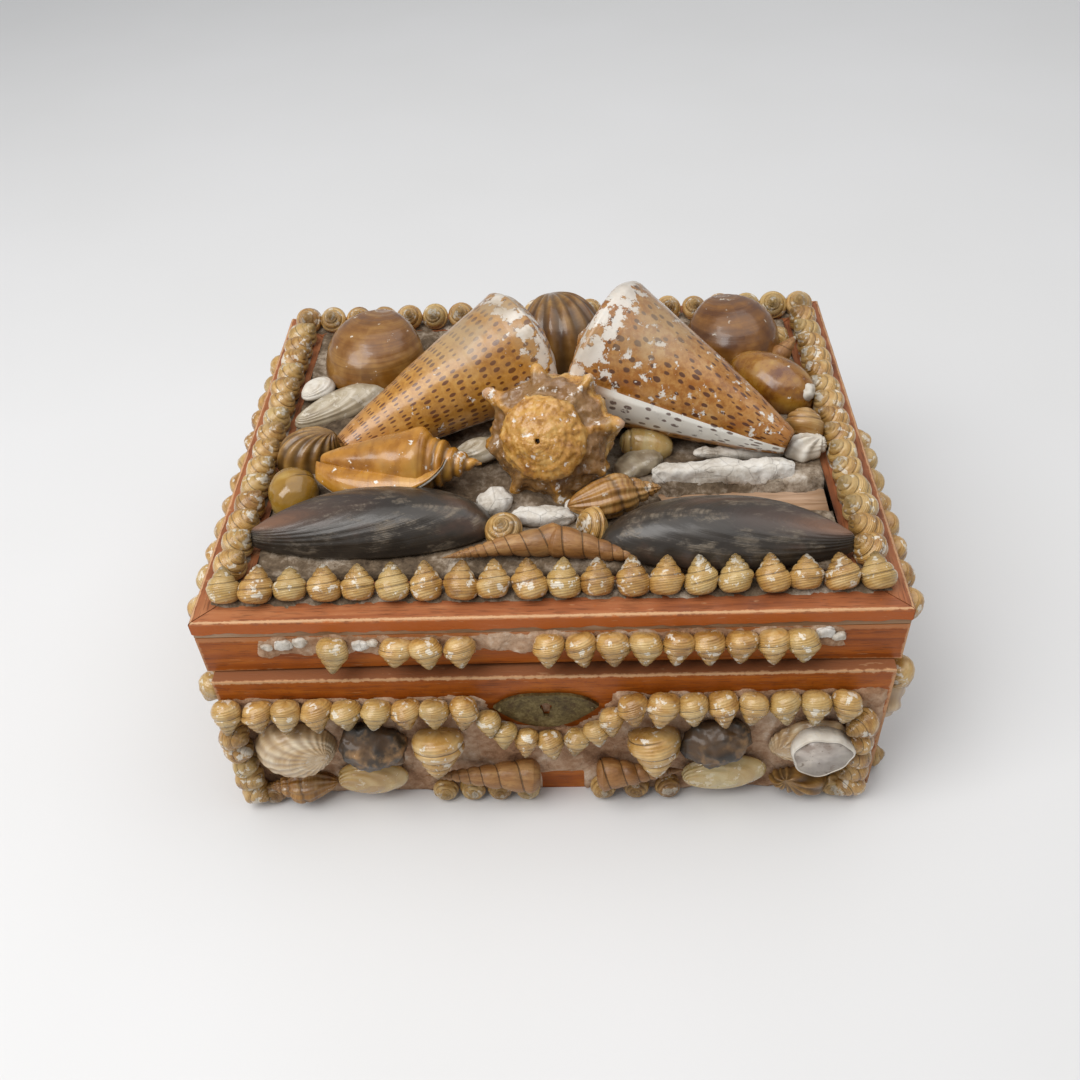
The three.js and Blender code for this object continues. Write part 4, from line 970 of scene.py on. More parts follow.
def edgeRow(name):
    look = edgeRows[name]
    low, high = boxOf(look["node"])
    outward = np.array(look["outward"], float)
    run = np.cross((0, 0, 1), outward)
    if name == "left":
        run = -run
    edge = -lidFront if name == "front" else halfLid
    face = edge + gap + faceBed
    hanging = np.array([0, 0, lidTop - edgeShell["drop"]])
    parts = []
    for at in look["along"]:
        axis = 0.5 * outward + run * dice.normal(0, 0.1) + np.array([0, 0, -0.86])
        place = run * at + outward * (face + edgeShell["out"]) + hanging
        parts.append(topAt(place, axis, -outward, edgeShell["wide"], edgeShell["tall"], outward, face
                           - sink))
    axis = int(np.argmax(np.abs(run)))
    ends = (low[axis], high[axis])
    flip = run[axis]

    def scar(u, v):
        ragged = 1.6 * noiseOver(u, v, 5.0, 4, 5.0 + edge)
        middle = lidTop - edgeShell["drop"]
        band = smooth(4.0 - np.abs(v - middle) + ragged, -0.2, 0.8)
        band = band * smooth(u * flip - ends[0] + ragged, 0, 2) * smooth(ends[1] - u * flip + ragged, 0, 2)
        lumps = smooth(noiseOver(u, v, 4.0, 4, 21.0), -0.1, 0.5)
        return edge - 0.3 + band * (0.45 + 0.5 * lumps)
    span = (min(ends[0] * flip, ends[1] * flip) - 3, max(ends[0] * flip, ends[1] * flip) + 3)
    parts.append(crust(run, (0, 0, 1), outward, span, (scarBand["low"], scarBand["high"]), 0.8, scar, edge
                       - sink, "glue"))
    for k, (at, size) in enumerate(look["chips"]):
        chip = lump({"size": (4.6 * size + 1.2, 1.7, 4.2 * size), "rough": 0.5, "grain": 2.0,
                     "square": 0.7},
                    "whitePlaster" if k % 2 else "white", 0.4, k)
        parts.append(placed(chip, run * at + outward * (edge + 0.7)
                            + np.array([0, 0, scarBand["chips"] + 0.8 * (k % 3)])))
    parts = [heldIn(part, look["node"], outward) for part in parts]
    makePiece("edge_shells_" + name, parts, (look["node"],))


caseRow = {"z": caseTop - 10.3, "wide": 9.2, "tall": 10.8, "out": 2.4,
           "dip": {"x": -0.5, "width": 19.0, "depth": 16.0}}
cornerColumn = {"wide": 9.4, "tall": 10.0, "x": (-95.3, 90.5), "heights": [35, 27.75, 20.5, 13.25, 6]}
footRow = {"wide": 8.0, "tall": 6.4, "z": 4.2, "along": [-90, -35, -26.3, -17.7, -9, 15, 25, 35, 86]}


def caseFrontRows():
    out = np.array([0, -1.0, 0])
    y = caseFront - gap - faceBed
    dip = caseRow["dip"]
    row = [(x, caseRow["z"]) for x in [*np.linspace(-95, -25, 9), *np.linspace(23.5, 67, 6), 76, 85]]
    for degrees in np.linspace(200, 340, 7):
        x, z = heading(degrees)
        row.append((dip["x"] + dip["width"] * x, caseRow["z"] + dip["depth"] * z))
    parts = []
    for i, (x, z) in enumerate(row):
        axis = (0.2 * math.sin(2.3 * i) + dice.normal(0, 0.05), -0.5, -0.86)
        small = 0.86 if i > 16 else 1.0
        parts.append(topAt((x, y - caseRow["out"], z), axis, -out, small * caseRow["wide"],
                           small * caseRow["tall"],
                           out, -y - sink))
    for x in cornerColumn["x"]:
        for i, z in enumerate(cornerColumn["heights"]):
            axis = (-x / 110, -0.6, 0.3 * math.sin(i))
            part = topAt((x, y - 2.2, z), axis, -out, cornerColumn["wide"], cornerColumn["tall"], out, -y
                         - sink)
            parts.append(pressed(part, (0, 0, 1), floorClear))
    for i, x in enumerate(footRow["along"]):
        part = snail(flatSnail, "golden", footRow["wide"], footRow["tall"], dice.random(), dice.random())
        placed(part, (x, y - 1.8, footRow["z"]), (0.15 * math.sin(3 * i), -1, 0.1),
               (math.cos(i), 0, math.sin(i)))
        parts.append(pressed(pressed(part, out, -y - sink), (0, 0, 1), floorClear))
    lock = (plateLow + plateHigh) / 2

    def field(u, v):
        ragged = 1.5 * noiseOver(u, v, 5.0, 4, 2.0)
        top = caseTop - 8 + ragged
        around = (((u - lock[0]) / (dip["width"] + 0.5)) ** 2
                  + ((v - caseTop + 8) / (dip["depth"] - 1)) ** 2) ** 0.5
        inside = smooth(top - v, -0.3, 0.9) * smooth(around * 12 - 12 + ragged, -0.5, 1.0)
        bareWood = smooth(7.5 - np.abs(u - 2), 0, 1) * smooth(9.5 - v, 0, 1)
        inside = inside * (1 - bareWood) * smooth(halfCase - 1 - np.abs(u), -0.5, 1.0)
        lumps = smooth(noiseOver(u, v, 6.0, 4, 31.0), -0.2, 0.6)
        return -caseFront - 0.3 + inside * (0.7 + 0.9 * lumps)
    parts.append(crust((1, 0, 0), (0, 0, 1), out, (-halfCase + 0.4, halfCase - 0.4), (0.5, caseTop - 5),
                       0.9, field,
                       -caseFront - sink, "glue"))
    makePiece("case_front_shells", parts, ("case_front_field",))
    print("case front rows done")


def frontValve(look, finish, degrees, shade=0.5):
    part = valve(look, finish, shade=shade)
    x, z = heading(degrees)
    return aimed(part, (0, -1, 0), (x, 0, z))


cockleLook = {"length": 25, "width": 22, "height": 8.5, "ribs": 30, "ribDepth": 0.13, "beakRise": 0.75,
              "terraces": 5, "terraceDepth": 0.1, "rows": 40, "columns": 150}
jingleLook = {"length": 22, "width": 15, "height": 4.4, "beak": 0.05, "beakRise": 0.8, "bulge": 0.9,
              "rows": 30,
              "columns": 60, "terraces": 4, "terraceDepth": 0.12}
arkLook = {"length": 18, "width": 10, "height": 6.5, "ribs": 16, "ribDepth": 0.5, "rows": 26,
           "columns": 110,
           "beakAt": (-0.3, 0.3)}
darkLook = {"size": (21, 13, 17), "rough": 1.7, "grain": 5.5, "rows": 40, "columns": 60}
caseTurret = {"widen": 1.3, "rows": 110, "columns": 40, "sutureTo": 0.4, "swell": 0.06,
              "outline": [(0.02, -0.5), (0.6, -0.49), (0.97, -0.44), (1.0, -0.36), (0.55, 0.05),
                          (0.25, 0.33),
                          (0.03, 0.5)]}
steppedTop = {"widen": 1.6, "rows": 70, "columns": 48, "sutureTo": 0.3, "swell": 0.05,
              "outline": [(0.02, -0.46), (0.6, -0.45), (0.93, -0.36), (1.0, -0.2), (0.93, -0.06),
                          (0.7, 0.08),
                          (0.5, 0.24), (0.28, 0.38), (0.03, 0.5)]}


def caseFrontShells():
    out = (0, -1, 0)
    settledFront = [
        ("case_cockle", frontValve(cockleLook, "pale", 190, 0.7), "pale_shell"),
        ("case_jingle_left", frontValve(jingleLook, "jingle", 0, 0.4), "pale_shell"),
        ("case_jingle_right", frontValve({**jingleLook, "length": 26}, "jingle", 5, 0.8), "pale_shell"),
        ("case_ark", frontValve(arkLook, "ribbedBrown", -8, 0.6), "brown_shell"),
    ]
    for side, tip, seed in (("left", -0.35, 4.0), ("right", 0.3, 9.0)):
        part = lump(darkLook, "charred", 0.35, seed)
        aimed(part, (-tip, 0, 1), (1, 0, tip))
        settledFront.append(("case_dark_shell_" + side, part, "dark_shell"))
        lean = -0.05 if side == "left" else 0.05
        top = snail(steppedTop, "cream", 15.8, 17.5, 0.55, seed / 10)
        aimed(top, (lean, -0.45, -0.9), (0.3, 1, 0))
        settledFront.append(("case_big_top_" + side, top, "cream_shell"))
    left = aimed(snail(caseTurret, "turret", 10.4, 35.5, 0.6, 0.1), (-1, -0.05, 0.12), (0, 1, 0.2))
    right = aimed(snail(caseTurret, "turret", 9.8, 26.5, 0.45, 0.6), (1, 0.02, 0.08), (0, -1, 0.1))
    whelk = aimed(snail(ribbedWhelk, "whelk", 10.8, 21.5, 0.4, 0.3), (-1, -0.1, 0.1), (0, -0.9, 0.5))
    settledFront += [("case_turret_left", left, "brown_shell"), ("case_turret_right", right, "brown_shell"),
                     ("case_whelk", whelk, "brown_shell")]
    for node, part, slot in settledFront:
        makePiece(node.replace("case_", "front_"), settled(part, node, out), (node,))
    openValve()
    print("case front shells done")


def openValve():
    # broken: the ribbed outside is left at its beak, the smooth grey inside shows in a white rim
    low, high = boxOf("case_open_valve")
    size = high - low
    centre = (low + high) / 2
    outside = valve({"length": size[0] * 0.98, "width": size[2] * 0.96, "height": size[1] * 0.5, "ribs": 22,
                     "ribDepth": 0.25, "rows": 30, "columns": 110, "beakRise": 0.7}, "pale", shade=0.6)
    aimed(outside, (0, -1, 0), (1, 0, 0.25))
    outside["points"] = outside["points"] + (centre[0], high[1] - outside["points"][:, 1].max(), centre[2])
    columns, rows = 72, 22
    psi = anglesOf(columns)
    reach = np.linspace(0, 1, rows)[:, None]
    rimX, rimZ = 0.33 * size[0] * np.cos(psi), 0.40 * size[2] * np.sin(psi) * (1 - 0.15 * np.cos(psi))
    wave = 0.05 * np.sin(3 * psi) + 0.03 * np.sin(7 * psi)
    bowl = reach[::-1]
    inner = np.stack([rimX * bowl * (1 + wave), 3.6 * (1 - bowl ** 2.2) + 0 * psi,
                      rimZ * bowl * (1 + wave)], -1)[::-1]
    lipGrow = np.linspace(1.0, 1.13, 8)[:, None]
    lip = np.stack([rimX * lipGrow * (1 + wave), -0.7 * np.sin(np.linspace(0, math.pi, 8))[:, None]
                    + 0 * psi,
                    rimZ * lipGrow * (1 + wave)], -1)
    skirt = np.stack([rimX * 1.15, 4.2 + 0 * psi, rimZ * 1.15], -1)[None]
    shift = (centre[0] + 0.12 * size[0], low[1] + 1.0, centre[2] + 0.3)
    cup = skin(np.concatenate([inner, lip[:3]]), np.linspace(0, 1, rows + 3), aroundOf(columns), "nacre")
    rim = skin(np.concatenate([inner[-2:] + (0, 0.4, 0), lip, skirt]), np.linspace(0, 1, 11),
               aroundOf(columns), "white")
    for part in (cup, rim):
        part["points"] = part["points"] + shift
    makePiece("front_open_valve", [outside, rim, cup], ("case_open_valve",))


facings = {
    "left": {"outward": (-1, 0, 0), "half": halfCase, "length": 158.0, "hanging": 12, "foot": 7,
             "big": [("valve", -46, 25, 90), ("egg", -16, 22, 30), ("valve", 16, 24, 80),
                     ("egg", 47, 22, -20)]},
    "right": {"outward": (1, 0, 0), "half": halfCase, "length": 158.0, "hanging": 12, "foot": 7,
              "big": [("scallop", -68, 33, 95), ("egg", -40, 22, 30), ("valve", -8, 24, 80),
                      ("egg", 24, 22, -20)]},
    "back": {"outward": (0, 1, 0), "half": caseBack, "length": 191.0, "hanging": 12, "foot": 6,
             "big": [("valve", -52, 24, 90), ("valve", 0, 24, 90), ("valve", 52, 24, 90)]},
}
sideLooks = {"valve": {"length": 25, "width": 21, "height": 7, "ribs": 0, "rows": 24, "columns": 48,
                       "terraces": 6,
                       "terraceDepth": 0.08},
             "scallop": {"length": 25, "width": 21, "height": 7, "ribs": 18, "ribDepth": 0.4, "rows": 30,
                         "columns": 120},
             "egg": {"size": (17, 13, 9), "rough": 0.25, "grain": 6.0, "rows": 20, "columns": 28}}


def caseFacing(name):
    look = facings[name]
    outward = np.array(look["outward"], float)
    side = np.cross((0, 0, 1), outward)
    half = look["half"]

    def at(x, z, out):
        return side * x + np.array([0, 0, z]) + outward * (half + out)
    end = look["length"] / 2 - 5
    seat = half + gap + faceBed - 0.5
    parts = []
    for x in np.linspace(-end, end, look["hanging"]):
        axis = 0.5 * outward + side * dice.normal(0, 0.08) + np.array([0, 0, -0.86])
        parts.append(topAt(at(x, caseRow["z"], gap + 3.2), axis, -outward, 9.6, 11.0, outward, seat,
                           look=plainTop))
    for x in np.linspace(-end, end, look["foot"]):
        part = topAt(at(x, 4.9, gap + 2.0), outward + (0, 0, 0.1), -outward, 8.4, 6.8, outward, seat,
                     "golden", plainTop)
        parts.append(pressed(part, (0, 0, 1), floorClear))
    for k, (kind, x, z, degrees) in enumerate(look["big"]):
        form = sideLooks[kind]
        level, up = heading(degrees)
        facing = side * level + np.array([0, 0, up])
        if kind == "egg":
            part = lump(form, "greyPale" if k % 2 else "turret", 0.3 + 0.2 * k, k)
            part["points"][:, 2] += 2.0
        else:
            part = valve(form, "pale" if kind == "scallop" else ("brown", "pale", "jingle")[k % 3],
                         shade=0.3 + 0.15 * k)
        parts.append(pressed(placed(part, at(x, z, gap + faceBed), outward, facing), outward, seat))

    def field(u, v):
        ragged = 1.5 * noiseOver(u, v, 5.0, 4, half)
        inside = smooth(caseRow["z"] + 2.3 + ragged - v, -0.3, 0.9)
        inside = inside * smooth(look["length"] / 2 - np.abs(u), -0.5, 1)
        return half - 0.3 + inside * (0.7 + 0.9 * smooth(noiseOver(u, v, 6.0, 4, 31.0 + half), -0.2, 0.6))
    reach = look["length"] / 2
    parts.append(crust(side, (0, 0, 1), outward, (-reach, reach), (0.5, caseRow["z"] + 5), 1.3, field, half
                       - sink,
                       "glue"))
    parts = [heldIn(part, "case_" + name + "_shells", outward) for part in parts]
    makePiece("side_shells_" + name, parts, ("case_" + name + "_shells",))


coneLooks = {
    "leftCone": {"tones": ((0.3, 0.12, 0.012), (0.44, 0.205, 0.03), (0.56, 0.31, 0.075)),
                 "tip": (0.42, 0.2, 0.07),
                 "mottle": 0.25, "stain": (0.3, 0.12, 0.015), "rows": 17.0, "spots": 44.0, "stray": 0.22,
                 "spotSize": 0.25, "spotTone": (0.1, 0.026, 0.004), "whiteEdge": 0.97, "bellySpots": 0.8,
                 "wornShoulder": 0.2, "wornFrom": 0.645, "dustFrom": 100.0, "dust": 0.75},
    "rightCone": {"tones": ((0.24, 0.08, 0.006), (0.42, 0.19, 0.04), (0.52, 0.3, 0.11)),
                  "tip": (0.36, 0.14, 0.03),
                  "mottle": 0.75, "stain": (0.3, 0.1, 0.008), "rows": 13.0, "spots": 34.0, "stray": 0.75,
                  "spotSize": 0.2, "spotTone": (0.07, 0.018, 0.006), "whiteEdge": 0.9, "bellySpots": 0.9,
                  "wornShoulder": 0.16, "wornFrom": 0.585, "dustFrom": 103.0, "dust": 0.5},
}
coneShape = {
    "left": {"node": "cone_shell_left", "finish": "leftCone", "diameter": 39.0, "length": 77.0,
             "narrow": 0.26,
             "axis": (62.8, 42.4, 14.1), "lip": 0.05, "facing": (0.1, -0.75, -0.66)},
    "right": {"node": "cone_shell_right", "finish": "rightCone", "diameter": 47.0, "length": 75.0,
              "narrow": 0.16,
              "axis": (-62.9, 33.1, 19.2), "lip": 0.05, "facing": (0.1, -1.0, 0.0)},
}


def coneShell(look):
    r, length = look["diameter"] / 2, look["length"]
    tip = look["narrow"] * r
    flank = [(r * (look["narrow"] + (1 - look["narrow"]) * t ** 0.86), 0.86 * length * t)
             for t in np.linspace(0, 1, 62)]
    hollow = [(0.05 * tip, 7.0), (0.6 * tip, 6.0), (0.8 * tip, 2.5), (0.86 * tip, 0.6), (0.94 * tip, 0.05)]
    spire = flowing([(r, 0.86 * length), (0.985 * r, 0.885 * length), (0.86 * r, 0.912 * length),
                     (0.6 * r, 0.93 * length), (0.36 * r, 0.952 * length), (0.14 * r, 0.982 * length),
                     (0.02 * r, length)], 44)[1:]
    profile = np.array(hollow + flank + spire.tolist())
    columns = 112
    rings = spun(profile, columns)
    count = len(profile)
    height = profile[:, 1] / (0.86 * length)
    angle = np.arange(columns) / columns
    lip = look["lip"] * (angle - 0.5)[None, :] * smooth(height, 0.0, 0.25)[:, None]
    rings[..., :2] *= 1 + lip[..., None]
    onSpire = smooth(height, 1.0, 1.05)[:, None]
    whorl = 2.6 * np.log(np.maximum(profile[:, :1], 0.3) / r) + angle[None, :]
    uneven = 0.22 * fractal(rings, 9.0, 3, r) + 0.05 * fractal(rings, 2.0, 2, r)
    amount = onSpire * 0.5 * np.cos(fullTurn * whorl) * np.minimum(1, profile[:, :1] / (0.3 * r)) + uneven
    rings = raised(rings, amount)
    groove = onSpire * np.clip(-np.cos(fullTurn * whorl), 0, 1)
    wear = np.exp(-((height - 1.0) / 0.10) ** 2)[:, None] * np.ones((1, columns))
    growth = np.where(np.arange(count) < 5, -0.1, height)
    return skin(rings, growth, aroundOf(columns), look["finish"], groove * np.ones((1, columns)), wear)


def cones():
    for name, look in coneShape.items():
        part = aimed(coneShell(look), look["axis"], look["facing"])
        makePiece("cone_" + name, settled(part, look["node"]), (look["node"],))
    print("cones done")


crownShape = {"radius": 22.0, "horns": 8, "axis": (-0.22, -0.8, 0.5), "swell": 0.27, "lift": 0.12}


def crown():
    r, horns = crownShape["radius"], crownShape["horns"]
    rows, columns = 130, 176
    bodyRows, pitFrom = 124, 119  # the pit, painted near-black as shade, starts a little inside the end of the body
    profile = flowing([(0.02 * r, -1.12 * r), (0.35 * r, -1.05 * r), (0.62 * r, -0.8 * r),
                       (0.79 * r, -0.42 * r),
                       (0.84 * r, -0.05 * r), (0.74 * r, 0.12 * r), (0.60 * r, 0.22 * r),
                       (0.57 * r, 0.36 * r),
                       (0.5 * r, 0.47 * r), (0.36 * r, 0.56 * r), (0.15 * r, 0.64 * r),
                       (0.05 * r, 0.655 * r),
                       (0.035 * r, 0.6 * r), (0.01 * r, 0.5 * r)], rows)
    rings = spun(profile, columns)
    angle = anglesOf(columns)
    z, reach = profile[:, 1:], profile[:, :1]
    sharp = np.maximum(0, np.cos(horns * angle + 0.6)) ** 1.6 * (0.8 + 0.3 * np.sin(3 * angle + 1))
    ring = np.exp(-((z + 0.10 * r) / (0.24 * r)) ** 2) * (reach > 0.55 * r)
    swell = 1 + crownShape["swell"] * sharp[None, :] * ring
    rings[..., :2] *= swell[..., None]
    rings[..., 2] += crownShape["lift"] * r * sharp[None, :] * ring
    whorl = 1.9 * np.log(np.maximum(reach, 0.5) / r) - angle[None, :] / fullTurn
    disc = smooth(z, 0.2 * r, 0.3 * r)
    terraces = 0.16 * disc * np.cos(fullTurn * 2 * whorl) * np.minimum(1, reach / (0.12 * r))
    knobs = 0.45 * disc * smooth(reach, 0.3 * r, 0.55 * r) * np.maximum(0, np.cos(11 * angle)) ** 2
    rough = 1.7 * fractal(rings, 6.0, 5, 3.0) + 0.45 * fractal(rings, 1.6, 3, 5.0)
    calm = 1 - 0.45 * disc
    rings = raised(rings, rough * calm + terraces + knobs)
    # the hollow above the horns, marked to be painted darker as shade
    groove = np.exp(-((z - 0.15 * r) / (0.16 * r)) ** 2) * (1 - 0.6 * sharp[None, :]) + 0 * rings[..., 0]
    low = smooth(-z / r, 0.12, 0.6) + 0.7 * ring * sharp[None, :]
    around = aroundOf(columns)
    body = skin(rings[:bodyRows], np.linspace(0, 1, bodyRows), around, "crown", groove[:bodyRows],
                np.clip(low, 0, 1)[:bodyRows])
    # the pit takes the near-black finish: painted shade
    pit = skin(rings[pitFrom:], np.linspace(0, 1, rows - pitFrom), around, "dark")
    parts = [aimed(part, crownShape["axis"], (1, 0, 0.3)) for part in (body, pit)]
    makePiece("crown", settledTogether(parts, "crown_shell"), ("crown_shell",))


conchShape = {"diameter": 21.0, "length": 50.0, "axis": (49, -6, 2)}


def conch():
    r, length = conchShape["diameter"] / 2, conchShape["length"]
    profile = flowing([(0.06 * r, -0.5 * length), (0.24 * r, -0.47 * length), (0.5 * r, -0.3 * length),
                       (0.8 * r, -0.06 * length), (0.99 * r, 0.13 * length), (0.9 * r, 0.185 * length),
                       (0.72 * r, 0.22 * length), (0.66 * r, 0.28 * length), (0.46 * r, 0.33 * length),
                       (0.38 * r, 0.385 * length), (0.2 * r, 0.44 * length), (0.02 * r, 0.52 * length)],
                      110)
    columns = 96
    rings = spun(profile, columns)
    angle = anglesOf(columns)
    z = profile[:, 1:]
    onSpire = smooth(z, 0.19 * length, 0.25 * length)
    whorl = (z / length - 0.52) * 16 * (1 - 0.5 * (z / length - 0.25)) + angle[None, :] / fullTurn
    amount = 0.35 * onSpire * np.cos(fullTurn * whorl) * np.minimum(1, profile[:, :1] / (0.2 * r))
    amount = amount + 0.5 * np.exp(-((z - 0.14 * length) / (0.05 * length)) ** 2) * np.cos(5 * angle + 1)
    amount = amount + 0.18 * fractal(rings, 7.0, 3, 2.0)
    rings = raised(rings, amount)
    # the spire's suture, marked to be painted darker as shade
    groove = onSpire * np.clip(-np.cos(fullTurn * whorl), 0, 1) + 0 * rings[..., 0]
    body = skin(rings, np.linspace(0, 1, 110), aroundOf(columns), "amber", groove,
                0.6 * smooth(z, 0.3 * length, 0.5 * length) + 0 * rings[..., 0], 0.5)
    along = np.linspace(0, 1, 46)
    stations = []
    for t in along:
        run = (-0.5 + 0.8 * t) * length
        swell = math.sin(math.pi * min(1, 0.08 + 0.92 * t)) ** 0.6
        wave = 0.7 * math.sin(9 * t) + 0.35 * math.sin(23 * t)
        root = np.array([0.35 * r * swell, -0.35 * r, run])
        edge = np.array([(1.28 * swell + 0.1) * r, -(0.25 + 0.5 * t) * r + wave * 0.5, run + 1.5 * t])
        bulge = np.array([0.85 * r * swell, -0.95 * r * swell - 0.2 * wave, run])
        curve = [(1 - s) ** 2 * root + 2 * s * (1 - s) * bulge
                 + s * s * edge for s in np.linspace(0, 1, 12)]
        thick = np.array([-0.15, 1.0, 0]) * 1.1
        stations.append(curve + [p + thick for p in curve[::-1]])
    flap = np.array(stations)
    around = np.linspace(0, 1, flap.shape[1] + 1)
    lip = skin(flap, along, around, "amber", None, 0.0, 0.55)
    inner = skin(flap + (0.2, 0.9, 0.2), along, around, "white", None, 0.0, 0.6)
    parts = [body, lip, inner]
    for part in parts:
        aimed(part, conchShape["axis"], (0, -0.86, -0.5))
    for part in settledTogether(parts, "conch_shell"):
        pressed(part, (0, 0, 1), bedTop - 0.5)
    makePiece("conch", parts, ("conch_shell",))


musselLook = {"length": 72, "width": 27, "height": 12, "rows": 46, "columns": 120,
              "beakAt": (-0.475, -0.05),
              "beakRise": 0.5, "bulge": 1.6, "terraces": 7, "terraceDepth": 0.07}
clamLook = {"length": 38, "width": 36, "height": 17, "rows": 44, "columns": 96, "terraces": 9,
            "terraceDepth": 0.06,
            "beakRise": 0.7, "beak": 0.2, "beakAt": (-0.46, 0.0)}
backCockle = {"length": 34, "width": 32, "height": 18, "rows": 42, "columns": 180, "ribs": 26,
              "ribDepth": 0.38,
              "beakRise": 0.85}
leftCockle = {"length": 21, "width": 16, "height": 10, "rows": 34, "columns": 150, "ribs": 26,
              "ribDepth": 0.3,
              "beakRise": 0.8}


def lidValves():
    for node, look, finish, margin, degrees, slot, shade in (
            ("mussel_shell_left", musselLook, "mussel", dropMargin, 2, "dark_shell", 0.3),
            ("mussel_shell_right", musselLook, "mussel", dropMargin, 178, "dark_shell", 0.8),
            ("clam_shell_left", clamLook, "brown", eggMargin, 262, "brown_shell", 0.6),
            ("clam_shell_right", {**clamLook, "length": 36, "width": 34, "height": 16}, "brown", eggMargin,
             282,
             "brown_shell", 0.3),
            ("cockle_shell_back", backCockle, "ribbedBrown", eggMargin, 285, "brown_shell", 0.35),
            ("cockle_shell_left", leftCockle, "ribbedBrown", eggMargin, 205, "brown_shell", 0.6)):
        if node == "mussel_shell_right":  # the mirror image of the left one
            part = valve({**look, "beakAt": (-0.475, 0.05)}, finish,
                         lambda psi, size: tuple(c * s for c, s in zip(dropMargin(-psi, size), (1, -1))),
                         shade)
        else:
            part = valve(look, finish, margin, shade)
        aimed(part, (0, 0, 1), (*heading(degrees), 0))
        makePiece(node.replace("_shell", ""), settled(part, node), (node,))
    print("valves done")


ribbedWhelk = {"widen": 1.75, "rows": 90, "columns": 64, "sutureTo": 0.25, "swell": 0.06, "ribs": 12,
               "ribDepth": 0.8,
               "outline": [(0.02, -0.5), (0.25, -0.46), (0.5, -0.38), (0.85, -0.2), (1.0, -0.02),
                           (0.85, 0.12),
                           (0.6, 0.24), (0.38, 0.35), (0.17, 0.45), (0.03, 0.5)]}
roundMoon = {"widen": 2.2, "rows": 50, "columns": 44, "sutureTo": 0.1, "swell": 0.05,
             "outline": [(0.02, -0.45), (0.6, -0.42), (0.95, -0.2), (1.0, 0.0), (0.85, 0.2), (0.55, 0.36),
                         (0.25, 0.46), (0.03, 0.5)]}
longTurret = {**caseTurret, "widen": 1.24, "rows": 130, "swell": 0.05}
periwinkle = {"widen": 2.6, "rows": 50, "columns": 44, "sutureTo": -0.1, "swell": 0.02,
              "outline": [(0.03, -0.5), (0.45, -0.45), (0.82, -0.28), (1.0, 0.0), (0.93, 0.22), (0.66, 0.4),
                          (0.3, 0.48), (0.03, 0.5)]}


def lidSnails():
    for node, look, finish, size, axis, facing, slot, shade in (
            ("whelk_shell", ribbedWhelk, "whelk", (12.4, 29), (26, 7, -1), (0.2, -0.8, 0.4), "amber_shell",
             0.5),
            ("turret_shell_left", longTurret, "turret", (9.0, 36), (-34, -6, -2), (0, 1, -0.3),
             "brown_shell", 0.6),
            ("turret_shell_right", longTurret, "turret", (9.0, 35), (29, -6, -2), (0, 1, -0.3),
             "brown_shell", 0.4),
            ("periwinkle_shell", periwinkle, "olive", (15.5, 17), (-0.35, 0.8, 0.15), (0, 0, -1),
             "amber_shell", 0.5),
            ("moon_shell_right", roundMoon, "whelk", (12.2, 11), (0.2, 0.6, 0.6), (-0.2, -0.7, 0.4),
             "amber_shell", 0.7),
            ("top_shell_left", roundMoon, "golden", (10.8, 9), (-0.1, -0.35, 0.9), (0, 1, 0), "amber_shell",
             0.4),
            ("top_shell_right", roundMoon, "cream", (10.8, 9.5), (-0.8, -0.3, 0.5), (0, 1, 0),
             "cream_shell", 0.6),
            ("cowrie_shell_middle", periwinkle, "jingle", (11.5, 17), (-1, 0.1, 0.1), (0, 0, -1),
             "pale_shell", 0.6)):
        part = snail(look, finish, *size, shade, 0.3)
        makePiece(node.replace("_shell", ""), settled(aimed(part, axis, facing), node), (node,))
    cowrie()
    print("snails done")


def cowrie():  # an egg with a slit along its underside, whose toothed lips show at the lower end
    rows, columns = 60, 80
    tilt = np.linspace(0.03, 0.985, rows)[:, None] * math.pi
    angle = np.arange(columns)[None, :] / columns * fullTurn
    radius = np.sin(tilt) * (1 + 0.12 * np.cos(tilt))
    rings = np.stack([15.5 * np.cos(tilt) + 0 * angle, 10 * radius * np.cos(angle),
                      8.8 * radius * np.sin(angle)], -1)
    slit = np.exp(-((np.angle(np.exp(1j * (angle + math.pi / 2)))) / 0.16) ** 2)
    teeth = np.exp(-((np.abs(np.angle(np.exp(1j * (angle + math.pi / 2)))) - 0.34) / 0.12) ** 2)
    amount = -1.6 * slit * np.sin(tilt) ** 0.5 + 0.3 * teeth * np.cos(34 * tilt)
    amount = amount + 0.1 * fractal(rings, 6.0, 2, 4.0)
    rings = raised(rings, amount)
    # the slit is marked to be painted darker as shade
    part = skin(rings, np.linspace(0, 1, rows), aroundOf(columns), "ochreCowrie", slit + 0 * rings[..., 0])
    aimed(part, (0.18, -0.1, 1), (*heading(-38), -0.12))
    settled(part, "cowrie_shell_right")
    end = lump({"size": (6.5, 8, 6), "rough": 0.5, "grain": 2.0}, "white", 0.7, 6.0)
    low, high = boxOf("cowrie_shell_right")
    placed(end, (high[0] - 4.2, low[1] + 5.0, bedTop + 4.5))
    makePiece("cowrie_right", [part, end], ("cowrie_shell_right",))


